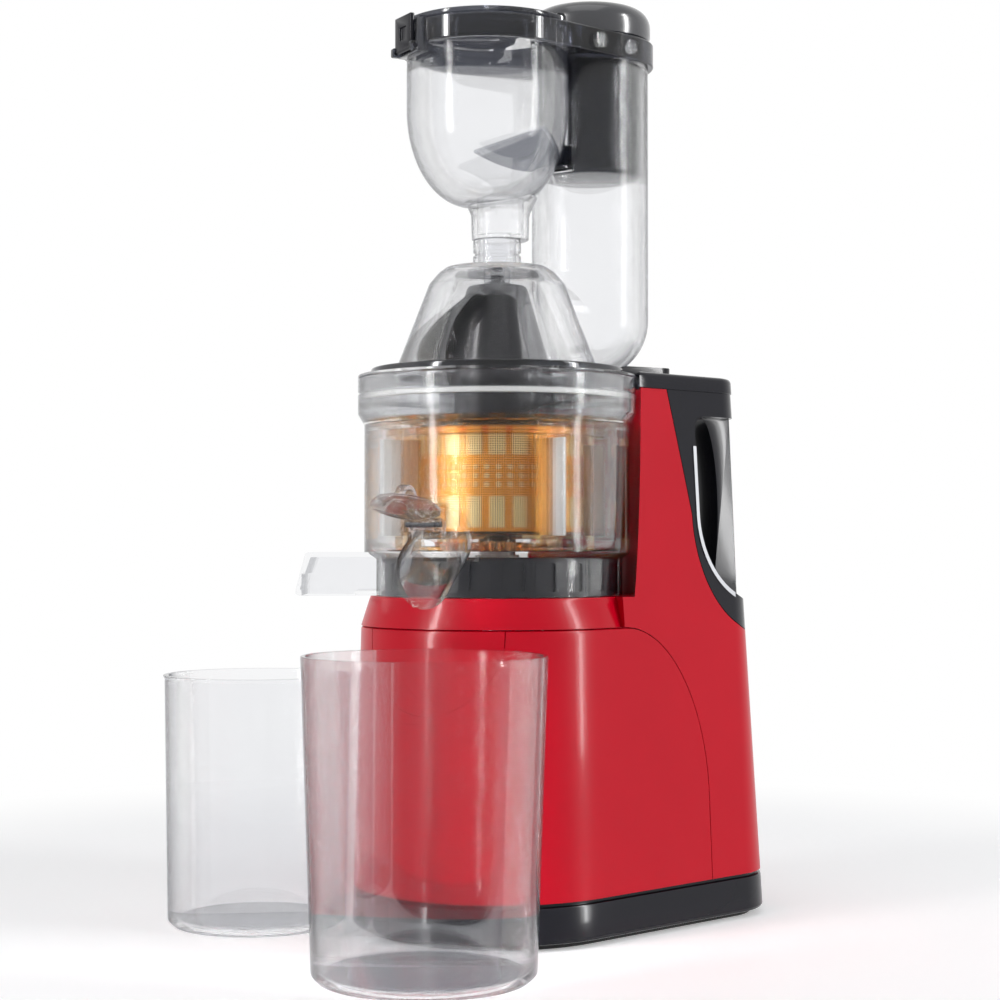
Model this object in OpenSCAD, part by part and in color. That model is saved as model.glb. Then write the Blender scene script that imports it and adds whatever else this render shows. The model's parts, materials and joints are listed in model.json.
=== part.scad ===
/* [Base] */
// Height of the deck that the bowl stands on
deck_h = 178; // [172:1:184]
// Width of the base across its foot
foot_w = 156; // [152:1:164]
// Rear reach of the base from the drive axis
foot_back = 158; // [152:1:164]
// Wall of the housing shells
shell_t = 2.6; // [2:0.1:3]
// Height of the black skirt above the bench
skirt_h = 22; // [16:1:30]
// Height of the rubber foot under the skirt
foot_h = 3; // [2:0.5:5]
// Drop from the deck to the ridge where the front shell ends
ridge_drop = 16; // [12:1:24]
// Radius of the half-round panel in the front shell
panel_r = 40; // [30:1:42]

/* [Column and handle] */
// Height of the column above the deck
column_h = 121.5; // [118:0.5:126]
// Rear reach of the column top from the drive axis
column_back = 144; // [138:1:150]
// Width of the column top where it meets the bowl
column_w = 112; // [104:1:118]
// Thickness of the column cap
cap_t = 9; // [6:0.5:14]
// Width of the handle grip
grip_w = 32; // [26:1:40]

/* [Motor and gears] */
// Radius of the motor can
motor_r = 34; // [30:1:36]
// Height of the motor can
motor_h = 84; // [74:1:86]
// Radius of the motor shaft
motor_shaft_r = 4; // [3:0.25:4.25]
// Face width of the gears
gear_w = 9; // [7:0.5:11]
// Module of the motor pinion and its wheel
fast_m = 1; // [0.9:0.05:1.05]
// Module of the second pinion and the output wheel
slow_m = 1.5; // [1.4:0.05:1.55]
// Radius of the drive shaft in its bearings
shaft_r = 8; // [7:0.25:8.5]
// Width across the flats of the drive hexagon
hex_w = 12; // [10:0.5:12.5]

/* [Bowl] */
// Outer radius of the bowl wall
bowl_r = 72; // [71:0.5:73]
// Wall of the clear parts
clear_t = 2.6; // [2:0.1:3]
// Height of the bowl above its floor
bowl_h = 96; // [92:0.5:100]
// Height of the ring below the bowl floor
ring_h = 21; // [19:0.5:24]
// Outer radius of the juice spout
spout_r = 15.5; // [13:0.5:16]
// Reach of the spout mouth past the bowl wall
spout_out = 25; // [22:1:28]
// Height of the centre of the spout mouth
spout_h = 192; // [190:1:195]
// Bearing of the spout, to the right of the front
spout_turn = 38; // [34:1:42]
// Reach of the pulp chute past the bowl wall
chute_out = 36; // [30:1:40]
// Bearing of the pulp chute, to the left of the front
chute_turn = 30; // [26:1:34]
// Width of the pulp chute
chute_w = 40; // [34:1:44]

/* [Strainer and auger] */
// Room between the bowl wall and the strainer basket
strainer_room = 24.5; // [23:0.5:26]
// Wall of the strainer basket
strainer_t = 1.4; // [1.2:0.1:1.8]
// Arms of the wiper cage
wiper_arms = 4; // [3:1:5]
// Thickness of a wiper blade
wiper_t = 2; // [1.5:0.1:2.5]
// Gap between the auger tip and the top of the dome
tip_gap = 3.8; // [3.4:0.1:5]
// Radius of the auger core at the lid
core_lid_r = 31; // [24:0.5:32]
// Radius of the auger core at its top
core_top_r = 16; // [10:0.5:18]
// Module of the gears under the strainer
brush_m = 1.5; // [1.45:0.01:1.5]

/* [Lid and feed tube] */
// Thickness of the lid plate
lid_t = 5; // [4:0.5:6]
// Outer radius of the dome where it meets the lid
dome_r = 55; // [54:0.5:57]
// Outer radius of the dome top
dome_top_r = 32; // [30:0.5:34]
// Height of the dome
dome_h = 58; // [56:0.5:60]
// Outer radius of the feed tube
tube_r = 32.5; // [31.5:0.5:33.5]
// Distance of the feed tube from the drive axis
tube_y = 60; // [59:0.5:62]
// Height of the feed tube above the lid
tube_h = 171; // [168:1:176]
// Outer radius of the collar on the dome
collar_r = 13; // [12:0.5:14]
// Wall of the collar on the dome
collar_t = 2.4; // [2:0.1:2.8]
// Height of the collar on the dome
collar_h = 15; // [12:0.5:18]

/* [Hopper and pusher] */
// Outer radius of the hopper bowl
hopper_r = 44; // [43:0.5:46]
// Height of the hopper bowl from its neck to its rim
hopper_h = 82; // [78:1:84]
// Height of the frame round the hopper and the tube
frame_h = 13; // [11:0.5:15]
// Thickness of the hopper cover
cover_t = 2.4; // [2:0.1:3]
// Radius of the pusher
pusher_r = 28.5; // [27:0.25:29]
// Radius of the pusher knob
knob_r = 33.8; // [33:0.2:35]
// Height of the pusher knob
knob_h = 20; // [18:0.5:24]

/* [Cups] */
// Radius of the juice cup at its rim
juice_cup_r = 59; // [56:0.5:60]
// Height of the juice cup
juice_cup_h = 153; // [140:1:160]
// Gap between the foot of the base and the juice cup
juice_cup_gap = 1; // [0.5:0.5:20]
// Radius of the pulp cup at its rim
pulp_cup_r = 50.5; // [48:0.5:51]
// Height of the pulp cup
pulp_cup_h = 135; // [120:1:150]
// Gap between the foot of the base and the pulp cup
pulp_cup_gap = 2.5; // [0.5:0.5:20]
// Bearing of the juice cup, to the right of the front
juice_cup_turn = 45.5; // [38:0.5:60]
// Bearing of the pulp cup, to the left of the front
pulp_cup_turn = 34; // [30:1:60]
// Wall of the cups
cup_t = 2.2; // [1.8:0.1:2.6]

/* [Fits] */
// Gap between parts that lift off each other
seat_gap = 0.3; // [0.2:0.05:0.4]
// Radial clearance of a running bore
run_gap = 0.05; // [0.03:0.01:0.08]
// Radial clearance of a part that slides by hand
slide_gap = 0.6; // [0.4:0.1:0.8]
// Width of the seams between the housing shells
seam_gap = 0.5; // [0.4:0.1:0.8]

/* [Hidden] */
$fn = 64;
eps = 0.01;
far = 400;
ridge_h = deck_h - ridge_drop;

// Housing outline: a front circle and two rear corner circles, at three levels
corner_x = [16, 10];
corner_r = [36, 20];
column_top = deck_h + column_h;
cap_z = column_top - cap_t;
outline_steps = 48;
deck_r = bowl_r - 3.5;
bowl_well_r = bowl_r + 6;
foot_z = foot_h;
skirt_groove = 2;

function mix(a, b, t) = a + (b - a) * t;
function share(z) = (z - foot_z) / (column_top - foot_z);
function front_r(z) = z < ridge_h
    ? mix(foot_w / 2, foot_w / 2 - 4.5, (z - foot_z) / (ridge_h - foot_z))
    : mix(foot_w / 2 - 4.5, column_w / 2, (z - ridge_h) / (column_top - ridge_h));
function rear_r(z) = mix(corner_r[0], corner_r[1], share(z));
function rear_x(z) = mix(corner_x[0], corner_x[1], share(z));
function rear_y(z) = mix(foot_back, column_back, share(z)) - rear_r(z);
function reach(c, r, n) = c * n + r;
function outline_point(z, grow, n) =
    let (
        rear = [n[0] >= 0 ? rear_x(z) : -rear_x(z), rear_y(z)],
        front_best = reach([0, 0], front_r(z), n) > reach(rear, rear_r(z), n)
    )
    front_best ? (front_r(z) + grow) * n : rear + (rear_r(z) + grow) * n;
function outline(z, grow) = [
    for (i = [0 : outline_steps - 1])
        let (a = 360 * (i + 0.5) / outline_steps)
        outline_point(z, grow, [cos(a), sin(a)])
];

module loft(z0, z1, grow = 0) {
    levels = z0 < ridge_h && z1 > ridge_h ? [z0, ridge_h, z1] : [z0, z1];
    rows = len(levels);
    n = outline_steps;
    points = [for (z = levels) for (p = outline(z, grow)) [p[0], p[1], z]];
    sides = [
        for (k = [0 : rows - 2]) for (i = [0 : n - 1])
            let (j = (i + 1) % n)
            each [
                [k * n + i, (k + 1) * n + i, (k + 1) * n + j],
                [k * n + i, (k + 1) * n + j, k * n + j]
            ]
    ];
    bottom = [[for (i = [0 : n - 1]) i]];
    top = [[for (i = [n - 1 : -1 : 0]) (rows - 1) * n + i]];
    polyhedron(points, concat(sides, bottom, top), convexity = 4);
}

// Turned shapes
module pipe(r_out, r_in, z0, z1) {
    translate([0, 0, z0])
        difference() {
            cylinder(r = r_out, h = z1 - z0);
            translate([0, 0, -1]) cylinder(r = r_in, h = z1 - z0 + 2);
        }
}
module turned(points) { rotate_extrude() polygon(points); }
module at_bearing(turn, reach = 0) { rotate([0, 0, turn - 90]) translate([reach, 0, 0]) children(); }
module across(half) { rotate([90, 0, 90]) translate([0, 0, -half]) linear_extrude(2 * half) children(); }

// Gears
pressure = 25;
tooth_top = 0.9;
tooth_root = 1.2;
gear_play = 0.12;
flank_steps = 4;
function inv(a) = tan(a) * 180 / PI - a;
function tooth_half(n, m, rho, thick) =
    90 / n + thick / (n * m) * 180 / PI
    + inv(pressure) - inv(acos(min(1, n * m / 2 * cos(pressure) / rho)));
function flank(n, m, top, thick) =
    let (base = n * m / 2 * cos(pressure), tip = n * m / 2 + top * m)
    [for (i = [0 : flank_steps])
        let (rho = mix(max(base, n * m / 2 - tooth_root * m), tip, i / flank_steps))
        [rho, tooth_half(n, m, rho, thick)]];
function gear_outline(n, m, top, root, thick) = [
    for (k = [0 : n - 1])
        let (f = flank(n, m, top, thick), low = n * m / 2 - root * m, mid = 360 * k / n)
        each concat(
            [[low, mid - f[0][1]]],
            [for (i = [0 : flank_steps]) [f[i][0], mid - f[i][1]]],
            [for (i = [flank_steps : -1 : 0]) [f[i][0], mid + f[i][1]]],
            [[low, mid + f[0][1]]]
        )
];
module teeth(n, m, top = tooth_top, root = tooth_root, thick = -gear_play / 2) {
    polygon([for (p = gear_outline(n, m, top, root, thick)) p[0] * [cos(p[1]), sin(p[1])]]);
}
module spur(n, m, z, w, turn) {
    translate([0, 0, z]) rotate([0, 0, turn]) linear_extrude(w) teeth(n, m);
}

// Bottom cover and foot
cover_floor = 3;
foot_in = 7;
foot_band = 7;
foot_bite = 1;
lip_h = 6;
module foot_ring() {
    color([0.09, 0.09, 0.1])
        linear_extrude(foot_z + foot_bite)
            difference() {
                polygon(outline(foot_z, -foot_in));
                polygon(outline(foot_z, -foot_in - foot_band));
            }
}
module bottom_cover() {
    color([0.08, 0.08, 0.1])
        difference() {
            union() {
                loft(foot_z, skirt_h);
                translate([0, 0, foot_z])
                    linear_extrude(skirt_h + lip_h - foot_z)
                        polygon(outline(skirt_h + lip_h, -shell_t - seat_gap));
            }
            translate([0, 0, foot_z + cover_floor])
                linear_extrude(far)
                    polygon(outline(skirt_h + lip_h, -2 * shell_t));
            translate([0, 0, -1])
                linear_extrude(foot_z + foot_bite + 1)
                    difference() {
                        polygon(outline(foot_z, -foot_in));
                        polygon(outline(foot_z, -foot_in - foot_band));
                    }
            for (y = [-24 : 12 : 48])
                translate([-18, y - 2, 0]) cube([36, 4, skirt_h]);
        }
}

// Housing shells
seam_back = 103;
seam_mid = 70;
seam_top_y = 40;
panel_bearing = 30;
panel_t = 1.2;
panel_gap = 0.4;
shell_z = skirt_h + skirt_groove;
deck_t = 3;
red = [0.72, 0.01, 0.09];
function arc(cx, cy, rx, ry, a0, a1, n) =
    [for (i = [0 : n]) let (a = mix(a0, a1, i / n)) [cx + rx * cos(a), cy + ry * sin(a)]];
module front_side(grow) {
    offset(delta = grow)
        polygon(concat(
            [[-far, -far], [seam_back, -far]],
            arc(seam_top_y, seam_mid, seam_back - seam_top_y, ridge_h - seam_mid, 0, 90, 12),
            [[-far, ridge_h]]
        ));
}
module panel_round(r) {
    rotate([0, 90, panel_bearing - 90])
        translate([0, 0, foot_w / 4])
            intersection() {
                translate([-ridge_h, 0, 0]) cylinder(r = r, h = foot_w);
                translate([-ridge_h + panel_r - r + 4, -foot_w, 0]) cube([foot_w, 2 * foot_w, foot_w]);
            }
}
module front_shell() {
    color(red)
        difference() {
            intersection() {
                difference() {
                    loft(shell_z, ridge_h);
                    loft(shell_z - 1, ridge_h + 1, -shell_t);
                }
                across(far) front_side(-seam_gap / 2);
            }
            difference() {
                panel_round(panel_r + panel_gap);
                loft(shell_z, ridge_h, -panel_t - panel_gap / 4);
            }
        }
}
module front_panel() {
    color(red)
        difference() {
            intersection() {
                loft(shell_z, ridge_h - seam_gap / 2);
                panel_round(panel_r);
            }
            loft(shell_z - 1, ridge_h + 1, -panel_t);
        }
}

// Line between the red housing and the black handle cover, seen from the side
back_y = 99;
back_z = 222;
back_end = 155;
back_low = 156;
module back_side(grow) {
    offset(delta = grow)
        polygon(concat(
            [[far, back_low], [far, far], [back_y - 24, far], [back_y - 15, column_top - cap_t]],
            arc(back_end, back_z, back_end - back_y, back_z - back_low, 180, 270, 10)
        ));
}
recess_z = 222;
recess_y = 105;
recess_end = 153;
recess_top = 277;
recess_low = 174;
module recess_side(grow) {
    offset(delta = grow)
        polygon(concat(
            [[far, recess_low], [far, recess_top], [109, recess_top], [106, 274], [recess_y, 268]],
            arc(recess_end, recess_z, recess_end - recess_y, recess_z - recess_low, 180, 270, 10)
        ));
}
module bowl_well(grow) {
    translate([0, 0, deck_h]) cylinder(r = bowl_well_r + grow, h = far);
}
module column(z0, z1, grow) {
    difference() {
        loft(z0, z1, grow);
        bowl_well(-grow);
    }
}
boss_r = 19;
bearing_r = 14;
bearing_h = 9;
seal_h = 4;
module rear_housing() {
    color(red)
        difference() {
            column(shell_z, cap_z, 0);
            difference() {
                loft(shell_z - 1, cap_z + 1, -shell_t);
                translate([0, 0, deck_h - deck_t]) cylinder(r = bowl_well_r + shell_t, h = far);
                translate([0, 0, deck_h - bearing_h - seal_h - 2]) cylinder(r = boss_r, h = far);
            }
            across(far) difference() {
                front_side(seam_gap / 2);
                translate([-far, ridge_h + seam_gap / 2]) square(2 * far);
            }
            across(far) back_side(0);
            intersection() {
                turned([
                    [deck_r, deck_h + 1], [deck_r, deck_h],
                    [front_r(ridge_h), ridge_h + seam_gap], [far, ridge_h], [far, deck_h + 1]
                ]);
                translate([-far, -far, 0]) cube([2 * far, far + seam_top_y, far]);
            }
            translate([0, 0, deck_h - bearing_h - seal_h - 3])
                cylinder(r = bearing_r, h = bearing_h + seal_h + 4);
            on_posts() {
                translate([0, 0, deck_h - screw_l]) cylinder(r = screw_r, h = screw_l + 1);
                translate([0, 0, deck_h - screw_head_h]) cylinder(r = screw_head_r, h = screw_head_h + 1);
            }
            switch_place() translate([0, 0, -10]) cube([switch_w, switch_l, 30], center = true);
            gland_place() translate([0, 0, -10]) cylinder(r = gland_r, h = 30);
        }
}
module column_cap() {
    color([0.07, 0.07, 0.09])
        difference() {
            column(cap_z, column_top, 0.6);
            difference() {
                loft(cap_z - 1, column_top - shell_t, -shell_t);
                translate([0, 0, cap_z - 1]) cylinder(r = bowl_well_r + shell_t, h = far);
                translate([0, pin_y, cap_z - 1]) cylinder(r = pin_r + 2.4, h = far);
            }
            translate([0, pin_y, cap_z - 1]) cylinder(r = pin_r + run_gap, h = far);
        }
}
module handle_cover() {
    color([0.06, 0.06, 0.08])
        difference() {
            intersection() {
                loft(back_low - 4, cap_z, 0);
                across(far) back_side(-seam_gap);
            }
            across(far) recess_side(0);
            intersection() {
                loft(back_low - 5, cap_z + 1, -shell_t);
                across(far) difference() {
                    back_side(-seam_gap - shell_t);
                    recess_side(shell_t);
                }
            }
        }
}
module handle_grip() {
    color([0.05, 0.05, 0.06])
        intersection() {
            loft(recess_low - 8, recess_top, -0.3);
            across(grip_w / 2)
                intersection() {
                    recess_side(0);
                    polygon(concat(
                        [[far, recess_low - 8], [far, recess_top + 1], [124, recess_top + 1]],
                        arc(124, 222, 12, 55, 90, -62, 10),
                        [[128, recess_low - 8]]
                    ));
                }
        }
}
trim_w = 2.4;
trim_proud = 0.6;
module handle_trim() {
    color([0.72, 0.73, 0.76])
        intersection() {
            difference() {
                loft(back_low, cap_z, trim_proud);
                loft(back_low - 1, cap_z + 1, run_gap);
            }
            across(far) difference() {
                recess_side(trim_w);
                recess_side(0);
            }
            translate([-far, 0, 0]) cube([2 * far, rear_y(recess_low) + 12, far]);
        }
}

// Rocker switch and cord inlet on the rear wall
switch_w = 20;
switch_l = 26;
switch_z = 96;
switch_throw = 10;
gland_z = 44;
gland_r = 7;
cord_r = 3.6;
rear_tilt = atan((rear_y(column_top) + rear_r(column_top) - rear_y(foot_z) - rear_r(foot_z))
    / (column_top - foot_z));
module on_rear(z) {
    translate([0, rear_y(z) + rear_r(z), z]) rotate([-90 - rear_tilt, 0, 0]) children();
}
module switch_place() { on_rear(switch_z) children(); }
module gland_place() { on_rear(gland_z) children(); }
module switch_bezel() {
    rim = 2;
    color([0.05, 0.05, 0.06])
        switch_place()
            difference() {
                union() {
                    translate([0, 0, 0.8]) cube([switch_w + 2 * rim, switch_l + 2 * rim, 1.6], center = true);
                    translate([0, 0, -6]) cube([switch_w, switch_l, 13], center = true);
                }
                translate([0, 0, -2]) cube([switch_w - 2 * rim, switch_l - 2 * rim, 20], center = true);
            }
}
module switch_rocker() {
    rocker_w = switch_w - 4 - 2 * seat_gap;
    rocker_r = switch_l / 2 - 2 - seat_gap;
    color([0.75, 0.1, 0.1])
        switch_place()
            intersection() {
                translate([-rocker_w / 2, 0, -7])
                    rotate([0, 90, 0]) cylinder(r = rocker_r, h = rocker_w);
                translate([0, 0, -1]) cube([rocker_w, 2 * rocker_r, 7], center = true);
            }
}
module cord_gland() {
    color([0.06, 0.06, 0.07])
        gland_place()
            difference() {
                union() {
                    translate([0, 0, -8]) cylinder(r = gland_r, h = 9);
                    cylinder(r = gland_r + 2.5, h = 2.4);
                    translate([0, 0, 2]) cylinder(r1 = gland_r - 0.6, r2 = cord_r + 1.6, h = 14);
                }
                translate([0, 0, -10]) cylinder(r = cord_r, h = 40);
            }
}
board_y = 104;
module control_board() {
    color([0.05, 0.3, 0.12])
        translate([0, board_y, foot_z + cover_floor]) {
            translate([-34, 0, 0]) cube([68, 1.6, 58]);
            translate([-20, -12, 30]) rotate([-90, 0, 0]) cylinder(r = 8, h = 12);
            translate([2, -14, 14]) cube([18, 14, 16]);
            translate([6, -10, 38]) cube([20, 10, 12]);
        }
}

// Motor, under the gear case
fast_n = [12, 60];
slow_n = [13, 52];
idler_y = slow_m * (slow_n[0] + slow_n[1]) / 2;
motor_y = idler_y - fast_m * (fast_n[0] + fast_n[1]) / 2;
motor_z = 16;
case_t = 3;
case_z = motor_z + motor_h;
fast_z = case_z + case_t + 2;
slow_z = fast_z + gear_w + 3;
case_top = slow_z + gear_w + 3;
rotor_z = motor_z + 22;
rotor_h = motor_h - 40;
end_bore_r = 8;
rotor_r = 19;
axle_r = 4;
neck_r = bearing_r + 3;
module on_motor() { translate([0, motor_y, 0]) children(); }
module on_idler() { translate([0, idler_y, 0]) children(); }
module motor_can() {
    color([0.62, 0.63, 0.65])
        on_motor()
            difference() {
                union() {
                    translate([0, 0, motor_z]) cylinder(r = motor_r, h = motor_h);
                    for (a = [45 : 90 : 315])
                        rotate([0, 0, a]) translate([motor_r - 8, 0, foot_z + cover_floor])
                            cylinder(r = 4, h = motor_z);
                }
                translate([0, 0, motor_z + case_t])
                    cylinder(r = motor_r - case_t / 2, h = motor_h - 2 * case_t);
                translate([0, 0, motor_z - 1]) cylinder(r = end_bore_r, h = motor_h + 2);
                for (a = [0 : 45 : 315])
                    rotate([0, 0, a]) translate([motor_r - 5, -3, motor_z + 6]) cube([10, 6, 14]);
            }
}
module motor_stator() {
    color([0.3, 0.31, 0.33])
        on_motor() pipe(motor_r - case_t / 2, rotor_r + 1, rotor_z, rotor_z + rotor_h);
}
module motor_rotor() {
    color([0.5, 0.4, 0.3])
        on_motor() {
            translate([0, 0, motor_z + 1]) cylinder(r = motor_shaft_r, h = fast_z - motor_z);
            translate([0, 0, rotor_z]) cylinder(r = rotor_r, h = rotor_h);
            spur(fast_n[0], fast_m, fast_z, gear_w, 90);
        }
}
module motor_fan() {
    color([0.12, 0.12, 0.13])
        on_motor() {
            pipe(7, motor_shaft_r, motor_z + 7, motor_z + 17);
            for (a = [0 : 40 : 320])
                rotate([0, 0, a])
                    translate([6, -0.8, motor_z + 8]) cube([motor_r - 16, 1.6, 8]);
        }
}
module motor_bearings() {
    color([0.75, 0.76, 0.78])
        on_motor()
            for (z = [motor_z, motor_z + motor_h - 6])
                pipe(end_bore_r, motor_shaft_r + run_gap, z, z + 6);
}
module case_outline(grow) {
    hull() {
        circle(r = slow_m * slow_n[1] / 2 + 4 + grow, $fn = 48);
        translate([0, idler_y]) circle(r = fast_m * fast_n[1] / 2 + 3 + grow, $fn = 48);
    }
}
module gear_case() {
    color([0.2, 0.2, 0.22])
        difference() {
            translate([0, 0, case_z]) linear_extrude(case_top - case_z) case_outline(case_t);
            translate([0, 0, case_z + case_t]) linear_extrude(far) case_outline(0);
            on_motor() translate([0, 0, case_z - 1]) cylinder(r = motor_shaft_r + 2, h = 10);
            on_idler() translate([0, 0, case_z - 1]) cylinder(r = axle_r, h = 10);
        }
}
module gear_case_cover() {
    color([0.2, 0.2, 0.22])
        difference() {
            union() {
                translate([0, 0, case_top]) linear_extrude(case_t) case_outline(case_t);
                translate([0, 0, case_top]) cylinder(r = neck_r, h = bearing_h + case_t);
                on_posts() translate([0, 0, case_top]) cylinder(r = 5, h = deck_h - deck_t - case_top);
            }
            translate([0, 0, case_top - 1]) cylinder(r = shaft_r + 2, h = far);
            translate([0, 0, case_top + case_t]) cylinder(r = bearing_r, h = far);
            on_idler() translate([0, 0, case_top - 1]) cylinder(r = axle_r, h = 10);
            on_posts() translate([0, 0, deck_h - screw_l]) cylinder(r = screw_r, h = screw_l);
        }
}
module idler_gear() {
    color([0.85, 0.83, 0.78])
        on_idler()
            difference() {
                union() {
                    spur(fast_n[1], fast_m, fast_z, gear_w, 270 - 180 / fast_n[1]);
                    spur(slow_n[0], slow_m, fast_z + gear_w - eps, gear_w + 3 + eps, 270);
                }
                translate([0, 0, fast_z - 1]) cylinder(r = axle_r + run_gap, h = far);
            }
}
module idler_axle() {
    color([0.75, 0.76, 0.78])
        on_idler() translate([0, 0, case_z]) cylinder(r = axle_r, h = case_top + case_t - case_z);
}
module output_gear() {
    color([0.85, 0.83, 0.78])
        difference() {
            spur(slow_n[1], slow_m, slow_z, gear_w, 90 - 180 / slow_n[1]);
            translate([0, 0, slow_z - 1]) cylinder(r = shaft_r, h = gear_w + 2);
        }
}
hex_r = hex_w / 2 / cos(30);
module drive_shaft() {
    color([0.78, 0.79, 0.81]) {
        translate([0, 0, slow_z]) cylinder(r = shaft_r, h = deck_h - slow_z);
        translate([0, 0, deck_h - 1]) cylinder(r = shaft_r - 1, h = hex_z - deck_h + 1);
        translate([0, 0, hex_z - 1]) cylinder(r = hex_r, h = hex_top - hex_z + 1, $fn = 6);
    }
}
module shaft_bearings() {
    color([0.75, 0.76, 0.78])
        for (z = [case_top + case_t, deck_h - seal_h - bearing_h])
            pipe(bearing_r, shaft_r + run_gap, z, z + bearing_h);
}
module shaft_seal() {
    color([0.1, 0.1, 0.11])
        difference() {
            union() {
                translate([0, 0, deck_h - seal_h]) cylinder(r = bearing_r, h = seal_h);
                translate([0, 0, deck_h - eps]) cylinder(r = shaft_r + 2.5, h = 2.4);
            }
            translate([0, 0, deck_h - seal_h - 1]) cylinder(r = shaft_r + run_gap, h = far);
        }
}
screw_r = 1.9;
screw_l = 18;
screw_head_r = 3.6;
screw_head_h = 1.8;
module on_posts() { for (x = [-1, 1]) translate([x * (neck_r + 12), 0, 0]) children(); }
module case_screws() {
    color([0.7, 0.71, 0.73])
        on_posts() {
            translate([0, 0, deck_h - screw_l]) cylinder(r = screw_r, h = screw_l);
            translate([0, 0, deck_h - screw_head_h]) cylinder(r = screw_head_r, h = screw_head_h);
        }
}
pin_r = 2.6;
pin_travel = 1.5;
pin_y = back_y - 2.7;
pin_low = cap_z - 6;
module safety_pin() {
    color([0.85, 0.85, 0.86])
        translate([0, pin_y, 0]) {
            translate([0, 0, pin_low]) cylinder(r = pin_r, h = lid_top - seat_gap - pin_low);
            translate([0, 0, cap_z - 1.5]) cylinder(r = pin_r + 1.5, h = 1.5);
        }
}
module micro_switch() {
    body = [18, 9, 10];
    low = pin_low - pin_travel - seat_gap - body[2];
    color([0.1, 0.1, 0.12])
        translate([0, pin_y, 0]) {
            translate([-body[0] / 2, -body[1] / 2, low]) cube(body);
            for (s = [-1, 1])
                translate([s * (body[0] / 2 + 1) - 1, -body[1] / 2, low])
                    cube([2, body[1], column_top - shell_t - low]);
        }
}

// Bowl, from its skirt to its flange
skirt_r = deck_r - 0.5;
spout_reach = bowl_r + spout_out;
chute_reach = bowl_r + chute_out;
strainer_r = bowl_r - strainer_room;
plug_at = bowl_r / 2;
plug_l = 20;
bowl_z = deck_h + ring_h;
floor_t = 3;
floor_z = bowl_z + floor_t;
hex_z = floor_z;
hex_top = floor_z + 38;
bowl_top = bowl_z + bowl_h;
flange_r = bowl_r + 3.5;
flange_h = 19;
step_z = bowl_top - flange_h - 6;
lid_fit_r = flange_r - clear_t - 0.4;
packing_r = 12;
hub_h = 1.5;
pulp_hole_r = 5.4;
pulp_hole_at = 21;
spout_tilt = 34;
spout_bore = spout_r - 2.2;
duct_h = ring_h - 0.5;
pinion_post_r = 3;
pinion_turn = 180 - chute_turn;
module spout_axis() {
    at_bearing(spout_turn, spout_reach)
        translate([0, 0, spout_h]) rotate([0, spout_tilt, 0]) rotate([0, -90, 0]) children();
}
module spout_body(r, from) {
    intersection() {
        spout_axis() translate([0, 0, -20]) cylinder(r = r, h = from);
        at_bearing(spout_turn) translate([0, -far / 2, 0]) cube([spout_reach, far, far]);
    }
}
module chute_block(grow, low, high, start, end) {
    at_bearing(-chute_turn)
        translate([start, -chute_w / 2 - grow, low]) cube([end - start, chute_w + 2 * grow, high - low]);
}
module chute_hood(grow) {
    slope = 6;
    at_bearing(-chute_turn)
        rotate([90, 0, 0])
            translate([0, 0, -chute_w / 2 - grow])
                linear_extrude(chute_w + 2 * grow)
                    polygon([
                        [14, bowl_z - duct_h + clear_t - grow],
                        [chute_reach - clear_t + grow, bowl_z - duct_h + clear_t - grow],
                        [chute_reach - slope - clear_t + grow, bowl_z + grow], [14, bowl_z + grow]
                    ]);
}
module bowl() {
    skirt_z = deck_h + seat_gap;
    color([0.85, 0.9, 0.92, 0.35])
        difference() {
            union() {
                turned([
                    [0, bowl_z], [skirt_r - clear_t, bowl_z], [skirt_r - clear_t, skirt_z], [skirt_r, skirt_z],
                    [skirt_r, bowl_z - 1], [bowl_r, bowl_z + 2], [bowl_r, step_z],
                    [flange_r, step_z + 6], [flange_r, bowl_top], [lid_fit_r, bowl_top],
                    [lid_fit_r, step_z], [bowl_r - clear_t, step_z], [bowl_r - clear_t, floor_z], [0, floor_z]
                ]);
                translate([0, 0, bowl_z - 4]) cylinder(r = packing_r + 2, h = 4 + eps);
                difference() {
                    spout_body(spout_r, 60);
                    translate([0, 0, floor_z]) cylinder(r = bowl_r - clear_t, h = far);
                    cylinder(r = skirt_r - 1, h = floor_z);
                }
                difference() {
                    chute_hood(clear_t);
                    cylinder(r = packing_r + 2, h = far);
                    translate([0, 0, floor_z]) cylinder(r = bowl_r + 1, h = far);
                }
                at_bearing(spout_turn, cap_axis_reach)
                    for (s = [-1, 1])
                        translate([0, s * (cap_ear + ear_w / 2) - ear_w / 2, cap_axis_z]) {
                            translate([-ear_r, 0, -ear_r - 1]) cube([2 * ear_r, ear_w, 2 * ear_r + 1]);
                            translate([-2 * ear_r, 0, -3 * ear_r - 1]) cube([2 * ear_r - 1, ear_w, 4 * ear_r]);
                        }
                at_bearing(pinion_turn, brush_m * 14)
                    translate([0, 0, bowl_z]) cylinder(r = pinion_post_r, h = floor_t + 5.5);
            }
            translate([0, 0, deck_h]) cylinder(r = packing_r - 2, h = far);
            translate([0, 0, bowl_z - 5]) cylinder(r = packing_r, h = 6);
            difference() {
                spout_body(spout_bore, 64);
                cylinder(r = bowl_r, h = floor_z);
                cylinder(r = bowl_r - 14, h = far);
            }
            difference() {
                chute_hood(0);
                cylinder(r = packing_r + 2.5, h = far);
            }
            chute_block(-clear_t, 0, bowl_z - duct_h / 2, skirt_r + 8, chute_reach - clear_t - 1);
            chute_block(-clear_t - 4, 0, bowl_z - duct_h / 2, plug_at, plug_at + plug_l);
            at_bearing(-chute_turn, pulp_hole_at)
                translate([0, 0, bowl_z - 1]) cylinder(r = pulp_hole_r, h = floor_t + 2);
            at_bearing(spout_turn, cap_axis_reach)
                translate([0, 0, cap_axis_z]) rotate([90, 0, 0])
                    cylinder(r = cap_pin_r, h = 4 * cap_ear, center = true);
        }
}
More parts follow.
